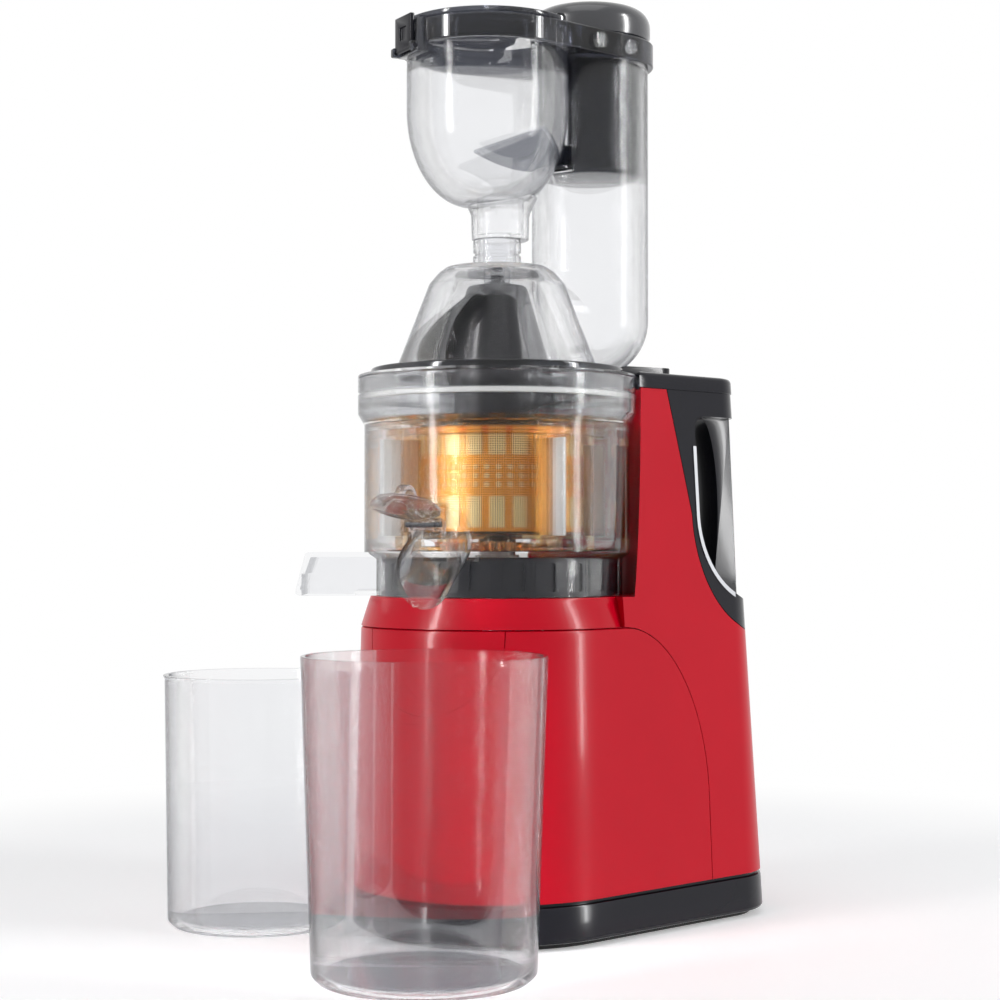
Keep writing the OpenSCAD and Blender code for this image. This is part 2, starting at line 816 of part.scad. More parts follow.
module bowl_ring() {
    color([0.12, 0.1, 0.1])
        difference() {
            union() {
                pipe(skirt_r - clear_t, skirt_r - clear_t - 5, deck_h + seat_gap, bowl_z);
                for (a = [0 : 15 : 345])
                    rotate([0, 0, a])
                        translate([skirt_r - clear_t - 9, -1, deck_h + seat_gap]) cube([6, 2, ring_h - 4]);
            }
            chute_block(clear_t + seat_gap, 0, far, 0, far);
            at_bearing(spout_turn) translate([0, -spout_r, bowl_z - 2]) cube([far, 2 * spout_r, 4]);
        }
}
module bowl_packing() {
    color([0.75, 0.75, 0.74])
        difference() {
            union() {
                translate([0, 0, bowl_z - 5]) cylinder(r = packing_r, h = 6);
                translate([0, 0, bowl_z]) cylinder(r = packing_r - 2, h = floor_t);
            }
            translate([0, 0, bowl_z - 6]) cylinder(r = shaft_r - 1 + seat_gap, h = 12);
        }
}
module pulp_plug() {
    color([0.75, 0.75, 0.74])
        chute_block(-clear_t - 4, bowl_z - duct_h, bowl_z - duct_h + clear_t, plug_at, plug_at + plug_l);
}

// Flip cap on the spout, drawn open
cap_axis_reach = spout_reach + 0.5;
cap_axis_z = spout_h + spout_r / cos(spout_tilt) + 5;
cap_ear = 7;
ear_w = 2.5;
ear_r = 3;
cap_pin_r = 1.5;
cap_open = 108;
cap_r = spout_r + 2;
cap_disc_t = 2.4;
module cap_frame() {
    at_bearing(spout_turn, cap_axis_reach)
        translate([0, 0, cap_axis_z]) rotate([0, -cap_open, 0]) children();
}
module juice_cap() {
    drop = cap_axis_z - spout_h;
    color([0.85, 0.9, 0.92, 0.4])
        cap_frame()
            difference() {
                union() {
                    translate([0, 0, -drop]) rotate([0, 90, 0]) cylinder(r = cap_r, h = cap_disc_t);
                    translate([0, 1 - cap_ear, -drop + 10]) cube([cap_disc_t, 2 * cap_ear - 2, drop - 9]);
                    rotate([90, 0, 0])
                        cylinder(r = ear_r, h = 2 * cap_ear - 2 * seat_gap, center = true);
                    translate([cap_disc_t - 0.2, 0, -drop])
                        difference() {
                            rotate([90, 0, 0]) cylinder(r = 10, h = 5, center = true);
                            rotate([90, 0, 0]) cylinder(r = 7.6, h = 8, center = true);
                            translate([-20, -10, -20]) cube([20, 20, 40]);
                        }
                }
                rotate([90, 0, 0]) cylinder(r = cap_pin_r + run_gap, h = 40, center = true);
            }
}
module cap_pin() {
    color([0.1, 0.1, 0.1])
        at_bearing(spout_turn, cap_axis_reach)
            translate([0, 0, cap_axis_z]) rotate([90, 0, 0])
                cylinder(r = cap_pin_r, h = 2 * (cap_ear + ear_w), center = true);
}

// Strainer, hung from its flange on the step in the bowl
strainer_low = floor_z + 6.5;
band_z = step_z - 30;
strainer_in = strainer_r - strainer_t;
rim_t = 2.4;
amber = [0.75, 0.4, 0.08];
window_n = 24;
module strainer_frame() {
    color(amber)
        difference() {
            union() {
                pipe(lid_fit_r - seat_gap, strainer_in, step_z + run_gap, step_z + rim_t);
                pipe(strainer_r, strainer_in, strainer_low, step_z + rim_t - eps);
                pipe(strainer_r, gear_hub_r + seat_gap, strainer_low, strainer_low + 2);
                at_bearing(-chute_turn, pulp_hole_at)
                    pipe(pulp_hole_r + 1.2, pulp_hole_r, floor_z + seat_gap, strainer_low + 1);
            }
            for (i = [0 : window_n - 1]) {
                rotate([0, 0, 360 * i / window_n]) {
                    translate([strainer_in - 3, -2, step_z - 18]) cube([8, 4, 15]);
                    translate([strainer_in - 3, -2, step_z - 36]) cube([8, 4, 15]);
                    translate([strainer_in - 3, -2, strainer_low + 6]) cube([8, 4, 14]);
                }
            }
            at_bearing(-chute_turn, pulp_hole_at) translate([0, 0, floor_z]) cylinder(r = pulp_hole_r, h = 20);
            for (a = [0 : 20 : 340])
                rotate([0, 0, a + 10])
                    translate([lid_fit_r - 14, -4, step_z - 1]) cube([8, 8, 5]);
        }
}
module strainer_mesh() {
    mesh_t = 0.5;
    color([0.8, 0.81, 0.83])
        pipe(strainer_in - run_gap, strainer_in - mesh_t, strainer_low + 4, step_z - 2);
}

// Wiper cage that turns round the strainer, with an inner gear ring under it
cage_in = strainer_r + 1.5;
cage_out = bowl_r - clear_t - 9;
ring_n = 40;
brush_w = 4.6;
cage_z = floor_z + seat_gap;
ring_r = brush_m * ring_n / 2 + 4;
cage_top = step_z - 3;
module wiper_cage() {
    color([0.8, 0.45, 0.12])
        difference() {
            union() {
                difference() {
                    translate([0, 0, cage_z]) cylinder(r = ring_r, h = brush_w);
                    translate([0, 0, cage_z - 1]) rotate([0, 0, pinion_turn - 90 + 180 / ring_n])
                        linear_extrude(brush_w + 2)
                            teeth(ring_n, brush_m, tooth_root, tooth_top, gear_play / 2);
                }
                for (i = [0 : wiper_arms - 1])
                    rotate([0, 0, 360 * i / wiper_arms]) {
                        translate([ring_r - 1, -5, cage_z]) cube([cage_out - ring_r, 10, 2.4]);
                        translate([cage_in, -5, cage_z]) cube([cage_out - cage_in - 1, 10, cage_top - cage_z]);
                    }
                pipe(cage_out, cage_in, cage_top - 4, cage_top);
            }
            wiper_slots();
        }
}
module wiper_slots() {
    for (i = [0 : wiper_arms - 1])
        rotate([0, 0, 360 * i / wiper_arms])
            translate([strainer_r + 0.4, -wiper_t / 2, cage_z + 8])
                cube([bowl_r - clear_t - strainer_r - 0.8, wiper_t, cage_top - cage_z - 14]);
}
module wiper_blades() {
    color([0.85, 0.82, 0.75]) wiper_slots();
}
auger_n = 16;
pinion_n = 12;
module brush_pinion() {
    color([0.9, 0.9, 0.88])
        at_bearing(pinion_turn, brush_m * (auger_n + pinion_n) / 2)
            difference() {
                spur(pinion_n, brush_m, cage_z, brush_w, 180 - 180 / pinion_n);
                translate([0, 0, cage_z - 1]) cylinder(r = pinion_post_r + run_gap, h = brush_w + 2);
            }
}

// Auger, with one long flight that rises into the dome
gear_hub_r = brush_m * (auger_n / 2 + tooth_top);
flight_r = strainer_in - 1.6;
flight_t = 4;
flight_steps = 64;
flight_turns = 2;
petal_turns = 0.3;
auger_low = strainer_low + 2.6;
function dome_in(z) = mix(dome_r, dome_top_r, (z - lid_z - lid_t / 2) / dome_h) - clear_t;
function flight_reach(z) = min(flight_r, dome_in(z + flight_t) - 3);
function core_r(z) = z < lid_z
    ? mix(core_lid_r + 3, core_lid_r, (z - auger_low) / (lid_z - auger_low))
    : mix(core_lid_r, core_top_r, (z - lid_z) / (core_top - lid_z));
module flight(start, z0, z1, turns) {
    n = flight_steps;
    points = [
        for (i = [0 : n])
            let (
                z = mix(z0, z1, i / n),
                a = start + 360 * turns * i / n,
                d = [cos(a), sin(a)],
                inner = core_r(z) - 3,
                outer = flight_reach(z)
            )
            each [
                [inner * d[0], inner * d[1], z],
                [outer * d[0], outer * d[1], z],
                [outer * d[0], outer * d[1], z + flight_t],
                [inner * d[0], inner * d[1], z + flight_t]
            ]
    ];
    sides = [
        for (i = [0 : n - 1]) for (k = [0 : 3])
            let (a = 4 * i + k, b = 4 * i + (k + 1) % 4)
            each [[a, b, b + 4], [a, b + 4, a + 4]]
    ];
    ends = [[3, 2, 1, 0], [4 * n, 4 * n + 1, 4 * n + 2, 4 * n + 3]];
    polyhedron(points, concat(sides, ends), convexity = 10);
}
module auger() {
    color([0.06, 0.06, 0.07])
        difference() {
            union() {
                spur(auger_n, brush_m, cage_z, brush_w, pinion_turn - 90);
                translate([0, 0, cage_z + 1]) cylinder(r = brush_m * (auger_n / 2 - tooth_root), h = 12);
                turned([
                    [0, auger_low], [flight_r, auger_low], [core_r(auger_low + 4), auger_low + 4],
                    [core_lid_r, lid_z], [core_top_r, core_top], [0, core_top]
                ]);
                translate([0, 0, core_top - 1]) cylinder(r = tip_pin_r, h = auger_top - core_top + 1);
                flight(150, auger_low + 3, lid_z - 2, flight_turns);
                flight(205, lid_z - 2, core_top - flight_t - 2, petal_turns);
            }
            translate([0, 0, cage_z - 1]) cylinder(r = hex_r + seat_gap, h = hex_top - cage_z + 2, $fn = 6);
        }
}

// Lid with its dome and feed tube
lid_z = bowl_top + seat_gap;
lid_top = lid_z + lid_t;
dome_top = lid_top + dome_h - lid_t / 2;
auger_top = dome_top - tip_gap;
core_top = auger_top - 6;
tip_pin_r = 4;
hub_low = dome_top - 8;
tube_in = tube_r - clear_t;
tube_low = lid_top + 30;
tube_top = lid_top + tube_h;
skirt_low = step_z + rim_t + seat_gap;
bridge_r = 28;
bridge_z = tube_low - 4;
window_w = 46;
window_h = 62;
lid_skirt_t = 4.5;
lid_lip_t = 1.5;
plate_r = bowl_r - 3.5;
lid_seal_h = 3;
lid_seal_z = lid_z - 12;
module lid_outer() {
    turned([
        [0, lid_z], [flange_r, lid_z], [flange_r, lid_z + lid_lip_t], [plate_r, lid_z + lid_lip_t],
        [plate_r, lid_top], [dome_r, lid_top],
        [dome_top_r + 5, dome_top - 9], [dome_top_r, dome_top - 3], [dome_top_r - 4, dome_top], [0, dome_top]
    ]);
    translate([0, tube_y, tube_low]) sphere(r = tube_r);
    translate([0, tube_y, tube_low]) cylinder(r = tube_r, h = tube_top - tube_low);
    translate([0, tube_y, bridge_z]) rotate([90, 0, 0]) cylinder(r = bridge_r, h = tube_y);
}
module lid_inner() {
    t = clear_t;
    turned([
        [0, lid_z - 1], [dome_r - t, lid_z - 1], [dome_r - t, lid_top],
        [dome_top_r + 5 - t, dome_top - 9 - t / 2],
        [dome_top_r - 4 - t / 2, dome_top - t], [0, dome_top - t]
    ]);
    translate([0, tube_y, tube_low]) sphere(r = tube_in);
    translate([0, tube_y, tube_low]) cylinder(r = tube_in, h = far);
    translate([0, tube_y, bridge_z]) rotate([90, 0, 0]) cylinder(r = bridge_r - t, h = tube_y);
}
module tube_space(grow) {
    translate([0, tube_y, lid_top + run_gap - grow]) cylinder(r = tube_r + grow, h = far);
}
module lid() {
    color([0.8, 0.86, 0.9, 0.3])
        difference() {
            union() {
                difference() {
                    lid_outer();
                    difference() {
                        lid_inner();
                        translate([0, 0, hub_low]) cylinder(r = tip_pin_r + 3, h = dome_top - hub_low);
                    }
                }
                pipe(lid_fit_r - slide_gap, lid_fit_r - slide_gap - lid_skirt_t, skirt_low, lid_z + eps);
            }
            translate([0, 0, hub_low - 1]) cylinder(r = tip_pin_r + seat_gap, h = auger_top + 1 - hub_low + 1);
            pipe(lid_fit_r + 1, lid_fit_r - lid_seal_h, lid_seal_z, lid_seal_z + lid_seal_h);
            tube_space(run_gap);
        }
}
module feed_tube() {
    color([0.8, 0.86, 0.9, 0.3])
        difference() {
            intersection() {
                lid_outer();
                tube_space(0);
            }
            lid_inner();
            translate([-window_w / 2, tube_y - 2 * tube_r, tube_top - window_h])
                cube([window_w, tube_r + 9, window_h + 1]);
        }
}
module lid_seal() {
    color([0.8, 0.8, 0.78])
        pipe(lid_fit_r - run_gap, lid_fit_r - lid_seal_h, lid_seal_z, lid_seal_z + lid_seal_h);
}
module lock_tab() {
    color([0.06, 0.06, 0.08])
        difference() {
            translate([-16, flange_r - 11, lid_top]) cube([32, 42, 4.4]);
            translate([0, tube_y, tube_low]) sphere(r = tube_r);
        }
}
module dome_collar() {
    color([0.85, 0.9, 0.92, 0.5])
        pipe(collar_r, collar_r - collar_t, dome_top, dome_top + collar_h);
}

// Hopper beside the tube
hopper_y = -6;
hopper_top = tube_top;
rim_top = tube_top + frame_h - 4;
hopper_low = hopper_top - hopper_h;
neck_out = collar_r - collar_t - seat_gap;
spigot_r = 15.5;
neck_y = 2;
neck_low = dome_top + collar_h + seat_gap;
function bowl_curve(r, z0, n) =
    [for (i = [0 : n]) let (a = 90 * i / n) [neck_out + (r - neck_out) * sin(a), z0 + 52 * (1 - cos(a))]];
module hopper() {
    t = clear_t;
    color([0.85, 0.9, 0.92, 0.35])
        difference() {
            union() {
                translate([0, hopper_y, 0])
                    turned(concat([[0, hopper_low]], bowl_curve(hopper_r, hopper_low, 9),
                        [[hopper_r, rim_top], [0, rim_top]]));
                hull() {
                    translate([0, neck_y, neck_low]) cylinder(r = spigot_r, h = 1, $fn = 48);
                    translate([0, neck_y, hopper_low + 4]) cylinder(r = spigot_r + 1, h = 1, $fn = 48);
                }
                translate([0, 0, dome_top + seat_gap]) cylinder(r = neck_out, h = collar_h + 2);
            }
            translate([0, hopper_y, 0])
                turned(concat([[0, hopper_low + t]], bowl_curve(hopper_r - t, hopper_low + t, 9),
                    [[hopper_r - t, rim_top + 1], [0, rim_top + 1]]));
            translate([0, tube_y, 0]) cylinder(r = tube_r + seat_gap, h = far * 2);
            translate([0, 0, dome_top - 1])
                cylinder(r = neck_out - clear_t, h = neck_low + clear_t + 2 - dome_top);
            translate([0, neck_y, neck_low + clear_t])
                cylinder(r = spigot_r - clear_t, h = hopper_low - neck_low + 2 * clear_t);
        }
}
baffle_y = 6;
baffle_z = hopper_low + 37;
module hopper_baffle() {
    color([0.35, 0.36, 0.4])
        difference() {
            intersection() {
                translate([-hopper_r, baffle_y, baffle_z]) rotate([-32, 0, 0]) cube([2 * hopper_r, 30, 2]);
                translate([0, hopper_y, 0])
                    turned(concat([[0, hopper_low + clear_t]],
                        bowl_curve(hopper_r - clear_t - seat_gap, hopper_low + clear_t, 9), [[0, hopper_top]]));
            }
            translate([0, tube_y, 0]) cylinder(r = tube_r + 2 * seat_gap, h = 2 * far);
        }
}
frame_grow = 3;
frame_top = hopper_top + frame_h;
hinge_y = 20;
hinge_z = frame_top + cover_t + 1.5;
hinge_r = 1.2;
ear_x = 32;
ear_t = 4;
knuckle_t = 3;
catch_t = 2.6;
catch_w = 18;
catch_y = hopper_y - hopper_r - frame_grow - 5;
catch_low = hopper_top - 5;
module catch_axle(grow, w) {
    translate([-w / 2, catch_y + catch_t / 2, catch_low + 2.5])
        rotate([0, 90, 0]) cylinder(r = catch_t / 2 + grow, h = w);
}
module frame_outline(grow) {
    hull() {
        translate([0, hopper_y]) circle(r = hopper_r + grow, $fn = 64);
        translate([0, tube_y]) circle(r = tube_r + grow, $fn = 64);
    }
}
module hopper_frame() {
    color([0.1, 0.11, 0.16, 0.8])
        difference() {
            union() {
                translate([0, 0, hopper_top]) linear_extrude(frame_h) frame_outline(frame_grow);
                translate([-catch_w / 2 - 3, catch_y + catch_t + run_gap, catch_low])
                    cube([catch_w + 6, 7, frame_top - catch_low]);
                translate([-catch_w / 2 - 3, catch_y - 1, catch_low])
                    cube([catch_w + 6, catch_t + 2, 5]);
                for (x = [-1, 1])
                    translate([x * ear_x - ear_t / 2, hinge_y - 3, frame_top - 1])
                        cube([ear_t, 6, hinge_z + 3.5 - frame_top]);
            }
            translate([-far / 2, hinge_y, hinge_z]) rotate([0, 90, 0]) cylinder(r = hinge_r, h = far);
            catch_axle(run_gap, far);
            translate([-catch_w / 2 - seat_gap, catch_y - 2, catch_low - 1])
                cube([catch_w + 2 * seat_gap, catch_t + 2 + run_gap, far]);
            translate([0, hopper_y, 0]) cylinder(r = hopper_r + run_gap, h = rim_top);
            translate([0, hopper_y, 0]) cylinder(r = hopper_r - 3, h = 2 * far);
            translate([0, tube_y, 0]) cylinder(r = tube_in, h = 2 * far);
            translate([0, tube_y, 0]) cylinder(r = tube_r + seat_gap, h = tube_top + seat_gap);
        }
}
module frame_knuckles() {
    color([0.85, 0.9, 0.92, 0.6])
        intersection() {
            for (s = [-1, 1]) for (y = [tube_y - 19, tube_y + 4])
                translate([s * (tube_r - 4), y, hopper_top + 6])
                    rotate([0, s * 90, 0]) cylinder(r = 4.4, h = tube_r);
            translate([0, 0, hopper_top])
                linear_extrude(frame_h)
                    difference() {
                        frame_outline(frame_grow + knuckle_t);
                        frame_outline(frame_grow);
                    }
        }
}
module cover_outline(grow) {
    difference() {
        translate([0, hopper_y]) circle(r = hopper_r + frame_grow + grow, $fn = 64);
        translate([-far, hinge_y - 4]) square(2 * far);
    }
}
module hopper_cover() {
    color([0.16, 0.17, 0.2, 0.6])
        difference() {
            union() {
                translate([0, 0, frame_top + seat_gap]) linear_extrude(cover_t) cover_outline(0);
                for (x = [-1, 1])
                    translate([x * 24 - 4, hinge_y - 6, frame_top + seat_gap]) {
                        cube([8, 6, cover_t]);
                        translate([0, 6, hinge_z - frame_top - seat_gap]) rotate([0, 90, 0])
                            cylinder(r = hinge_z - frame_top - seat_gap, h = 8);
                    }
            }
            translate([-far / 2, hinge_y, hinge_z]) rotate([0, 90, 0]) cylinder(r = hinge_r + run_gap, h = far);
        }
}
module cover_pin() {
    color([0.75, 0.76, 0.78])
        translate([-ear_x - ear_t / 2, hinge_y, hinge_z])
            rotate([0, 90, 0]) cylinder(r = hinge_r, h = 2 * ear_x + ear_t);
}
module cover_catch() {
    color([0.08, 0.09, 0.12])
        union() {
            translate([-catch_w / 2, catch_y, catch_low + 2.5])
                cube([catch_w, catch_t, frame_top + cover_t - catch_low - 2.5]);
            catch_axle(0, catch_w + 6);
        }
}

// Pusher, parked in the tube
pusher_low = hopper_low + 20;
pusher_top = frame_top + seat_gap;
module pusher() {
    t = 2;
    color([0.16, 0.17, 0.19])
        translate([0, tube_y, 0])
            turned([
                [0, pusher_low], [pusher_r, pusher_low], [pusher_r, pusher_top], [pusher_r - t, pusher_top],
                [pusher_r - t, pusher_low + t], [0, pusher_low + t]
            ]);
}
module pusher_knob() {
    h = knob_h;
    r = knob_r;
    color([0.22, 0.22, 0.24])
        translate([0, tube_y, pusher_top])
            turned(concat(
                [[0, 0], [r - 2, 0], [r, 2]],
                arc(r - 8, h * 0.5, 8, h * 0.5, 0, 90, 6),
                [[r * 0.5, h + 0.4], [0, h + 0.8]]
            ));
}

// Cups that stand by the base
module cup(r, h, draft, lip) {
    t = cup_t;
    turned([
        [0, 0], [r - draft - 3, 0], [r - draft, 3], [r, h - 2], [r + lip, h], [r - t, h],
        [r - draft - t, 3 + t], [0, 3]
    ]);
}
module juice_cup() {
    reach = foot_w / 2 + juice_cup_r + juice_cup_gap;
    color([0.85, 0.9, 0.92, 0.3]) at_bearing(juice_cup_turn, reach) cup(juice_cup_r, juice_cup_h, 5, 0);
}
module pulp_cup() {
    reach = foot_w / 2 + pulp_cup_r + pulp_cup_gap;
    color([0.85, 0.9, 0.92, 0.3]) at_bearing(-pulp_cup_turn, reach) cup(pulp_cup_r, pulp_cup_h, 2, 1);
}

foot_ring();
bottom_cover();
front_shell();
front_panel();
rear_housing();
column_cap();
handle_cover();
handle_grip();
handle_trim();
switch_bezel();
switch_rocker();
cord_gland();
control_board();
motor_can();
motor_stator();
motor_rotor();
motor_fan();
motor_bearings();
gear_case();
gear_case_cover();
idler_gear();
idler_axle();
output_gear();
drive_shaft();
shaft_bearings();
shaft_seal();
case_screws();
micro_switch();
safety_pin();
bowl();
bowl_ring();
bowl_packing();
pulp_plug();
juice_cap();
cap_pin();
strainer_frame();
strainer_mesh();
wiper_cage();
wiper_blades();
brush_pinion();
auger();
lid();
feed_tube();
lid_seal();
lock_tab();
dome_collar();
hopper();
hopper_baffle();
hopper_frame();
frame_knuckles();
hopper_cover();
cover_pin();
cover_catch();
pusher();
pusher_knob();
juice_cup();
pulp_cup();
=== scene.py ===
import json
from math import acos, asin, atan, atan2, cos, degrees, floor, hypot, pi, radians, sin, tan, tau

import bpy
from mathutils import Matrix, Vector


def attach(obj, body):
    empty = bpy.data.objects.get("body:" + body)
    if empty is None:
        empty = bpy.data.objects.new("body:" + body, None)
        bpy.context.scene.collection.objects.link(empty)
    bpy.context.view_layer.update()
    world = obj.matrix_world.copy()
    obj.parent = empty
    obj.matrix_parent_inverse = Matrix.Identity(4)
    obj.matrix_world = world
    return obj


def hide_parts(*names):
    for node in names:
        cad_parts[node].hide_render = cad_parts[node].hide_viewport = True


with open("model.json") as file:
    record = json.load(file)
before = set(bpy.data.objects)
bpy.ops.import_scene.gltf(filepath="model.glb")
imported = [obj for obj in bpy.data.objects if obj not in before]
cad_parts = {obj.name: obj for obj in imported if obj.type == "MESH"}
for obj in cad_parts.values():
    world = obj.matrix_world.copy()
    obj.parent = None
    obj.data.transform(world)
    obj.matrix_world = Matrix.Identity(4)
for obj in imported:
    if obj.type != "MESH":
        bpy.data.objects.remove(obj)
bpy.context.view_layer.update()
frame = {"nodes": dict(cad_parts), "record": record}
nodes = frame["nodes"]
mm = 0.001
print("frame loaded:", len(nodes), "nodes")


# camera and light

cameraSet = {"place": (0.9526, -0.55, 0.207), "target": (0.0008, 0.0014, 0.2298), "lens": 72.9, "sensor": 36}
lamps = {
    "stripLeft": dict(place=(0.12, -1.6, 0.6), size=0.3, power=9, tall=1.5),
    "stripRight": dict(place=(1.2, 1.08, 0.6), size=0.3, power=13, tall=1.5),
    "topLight": dict(place=(0.3, -0.3, 1.7), size=1.1, power=4, target=(0, 0, 0.2)),
    "streakLeft": dict(place=(0.12, -1.58, 0.6), size=0.14, power=26, tall=1.5, streak=True),
    "streakRight": dict(place=(1.18, 1.06, 0.6), size=0.1, power=14, tall=1.5, streak=True),
}
worldLight = (0.34, 0.345, 0.355)
floorSet = {
    "size": 12, "z": -0.0002, "color": (0.9, 0.9, 0.905), "rough": 0.6, "shine": 0.1, "lift": 0.3, "fade": (0.38, 0.7),
}


def aimThing(thing, place, target):
    bpy.context.scene.collection.objects.link(thing)
    thing.location = place
    thing.rotation_euler = (Vector(target) - Vector(place)).to_track_quat("-Z", "Y").to_euler()


def addCamera():
    data = bpy.data.cameras.new("camera")
    data.lens = cameraSet["lens"]
    data.sensor_width = cameraSet["sensor"]
    data.clip_start = 0.01
    cam = bpy.data.objects.new("camera", data)
    aimThing(cam, cameraSet["place"], cameraSet["target"])
    bpy.context.scene.camera = cam


def addLamp(name, place, size, power, tall=None, target=(0, 0, 0.22), streak=False):
    data = bpy.data.lights.new(name, "AREA")
    data.energy = power
    data.size = size
    if tall:
        data.shape = "RECTANGLE"
        data.size_y = tall
    lamp = bpy.data.objects.new(name, data)
    aimThing(lamp, place, target)
    lamp.visible_diffuse = not streak  # a streak is seen as a highlight only, it adds no light to the colours


def fill(tree, socket, value):
    # a link from another node's output, a colour or a plain number
    if isinstance(value, bpy.types.NodeSocket):
        tree.links.new(value, socket)
    elif value is not None:
        socket.default_value = (*value, 1) if isinstance(value, tuple) else value


def newNode(tree, kind, *values, **settings):
    # the values fill the node's inputs in their order
    node = tree.nodes.new("ShaderNode" + kind)
    for label, setting in settings.items():
        setattr(node, label, setting)
    for socket, value in zip(node.inputs, values):
        fill(tree, socket, value)
    return node


def setInputs(tree, node, values):
    for label, value in values.items():
        fill(tree, node.inputs[label], value)
    return node


def mathNode(tree, operation, *values):
    return newNode(tree, "Math", *values, operation=operation).outputs[0]


def mapNode(tree, *values, kind="LINEAR"):
    # a value, then its range and the range it is brought to
    return newNode(tree, "MapRange", *values, interpolation_type=kind).outputs[0]


def mixColor(tree, fac, a, b):
    mix = newNode(tree, "Mix", fac, data_type="RGBA")
    fill(tree, mix.inputs[6], a)
    fill(tree, mix.inputs[7], b)
    return mix.outputs[2]


def backgroundRays(tree):
    # 1 for rays that show the background: straight, mirrored or through clear plastic
    path = newNode(tree, "LightPath").outputs
    value = path["Is Camera Ray"]
    for kind in ("Is Glossy Ray", "Is Transmission Ray"):
        value = mathNode(tree, "MAXIMUM", value, path[kind])
    return value


def makeWorld():
    # white as a background, soft grey as light
    world = bpy.data.worlds.new("studio")
    bpy.context.scene.world = world
    world.use_nodes = True
    tree = world.node_tree
    color = mixColor(tree, backgroundRays(tree), worldLight, (1, 1, 1))
    setInputs(tree, tree.nodes["Background"], {"Color": color, "Strength": 1.0})


def makeFloor():
    # the shadow shows near the object, and further out the floor is plain white
    f = floorSet
    bpy.ops.mesh.primitive_plane_add(size=f["size"], location=(0, 0, f["z"]))
    ground = bpy.context.object
    ground.name = "floor"
    stuff = bpy.data.materials.new("paleFloor")
    stuff.use_nodes = True
    tree = stuff.node_tree
    seen = backgroundRays(tree)
    shader = setInputs(tree, tree.nodes["Principled BSDF"], {
        "Base Color": f["color"], "Roughness": f["rough"], "Specular IOR Level": f["shine"],
        "Emission Color": (1, 1, 1), "Emission Strength": mathNode(tree, "MULTIPLY", seen, f["lift"]),
    })
    far = newNode(tree, "VectorMath", newNode(tree, "TexCoord").outputs["Object"], operation="LENGTH")
    fade = mapNode(tree, far.outputs["Value"], *f["fade"], kind="SMOOTHSTEP")
    part = mathNode(tree, "MULTIPLY", fade, seen)
    mix = newNode(tree, "MixShader", part, shader.outputs[0], newNode(tree, "Emission").outputs[0])
    fill(tree, tree.nodes["Material Output"].inputs["Surface"], mix.outputs[0])
    ground.data.materials.append(stuff)


# shared effects

wearInputs = {
    "Color": ("Color", (0.5, 0.5, 0.5, 1)),
    "Roughness": ("Float", 0.3),
    "Smudge": ("Float", 0.1),
    "Grain": ("Float", 0.0),
    "Grain Scale": ("Float", 900.0),
}
wearShade = 0.12  # how far a smudge changes the colour's value


def makeHandlingGroup():
    group = bpy.data.node_groups.new("handling", "ShaderNodeTree")
    for label, (kind, value) in wearInputs.items():
        socket = group.interface.new_socket(label, in_out="INPUT", socket_type="NodeSocket" + kind)
        socket.default_value = value
    for label, kind in (("Color", "Color"), ("Roughness", "Float"), ("Height", "Float")):
        group.interface.new_socket(label, in_out="OUTPUT", socket_type="NodeSocket" + kind)
    given, result = group.nodes.new("NodeGroupInput").outputs, group.nodes.new("NodeGroupOutput")
    place = newNode(group, "TexCoord").outputs["Object"]
    broad = setInputs(group, newNode(group, "TexNoise"), {"Vector": place, "Scale": 22, "Detail": 4})
    fine = setInputs(group, newNode(group, "TexNoise"), {"Vector": place, "Scale": given["Grain Scale"], "Detail": 2})
    swing = mathNode(group, "SUBTRACT", broad.outputs["Fac"], 0.5)
    value = mathNode(group, "MULTIPLY_ADD", swing, wearShade, 1.0)
    shade = setInputs(group, newNode(group, "HueSaturation"), {"Value": value, "Color": given["Color"]})
    setInputs(group, result, {
        "Color": shade.outputs["Color"],
        "Roughness": mathNode(group, "MULTIPLY_ADD", swing, given["Smudge"], given["Roughness"]),
        "Height": mathNode(group, "MULTIPLY", fine.outputs["Fac"], given["Grain"]),
    })
    return group


# finishes

finishes = {
    # what a finish leaves out is as in addFinish
    "redHousing": dict(color=(0.57, 0.0, 0.014), rough=0.3, smudge=0.04, coat=0.15, shine=0.1),
    "blackGloss": dict(color=(0.008, 0.008, 0.013), rough=0.2, smudge=0.08, coat=0.2, shine=0.12),
    "blackPlastic": dict(color=(0.012, 0.012, 0.015), rough=0.42, smudge=0.15, grain=0.3),
    "darkPlastic": dict(color=(0.012, 0.012, 0.015), rough=0.3, smudge=0.15, grain=0.2, shine=0.25),
    "augerBlack": dict(color=(0.008, 0.008, 0.01), rough=0.22, smudge=0.1, coat=0.3, shine=0.2),
    "greyPlastic": dict(color=(0.2, 0.21, 0.24), rough=0.35, smudge=0.1),
    "knobGrey": dict(color=(0.035, 0.036, 0.042), rough=0.24, smudge=0.1, coat=0.5),
    # silverTrim also colours the strip round the handle recess, a painted highlight of that rim's chamfer
    "silverTrim": dict(color=(0.62, 0.63, 0.66), rough=0.25, smudge=0.1, metal=1.0),
    "steel": dict(color=(0.6, 0.61, 0.63), rough=0.3, smudge=0.2, metal=1.0, grain=0.2, scale=1600),
    "darkSteel": dict(color=(0.16, 0.16, 0.17), rough=0.45, smudge=0.2, metal=1.0, grain=0.4, scale=1200),
    "gearResin": dict(color=(0.72, 0.69, 0.6), rough=0.45, smudge=0.1, grain=0.2),
    "silicone": dict(color=(0.62, 0.62, 0.6), rough=0.5, smudge=0.1),
    "rubberBlack": dict(color=(0.015, 0.015, 0.015), rough=0.75, smudge=0.15, grain=0.5),
    "switchRed": dict(color=(0.5, 0.02, 0.02), rough=0.3, smudge=0.1),
    "boardGreen": dict(color=(0.02, 0.16, 0.06), rough=0.4, smudge=0.1),
}
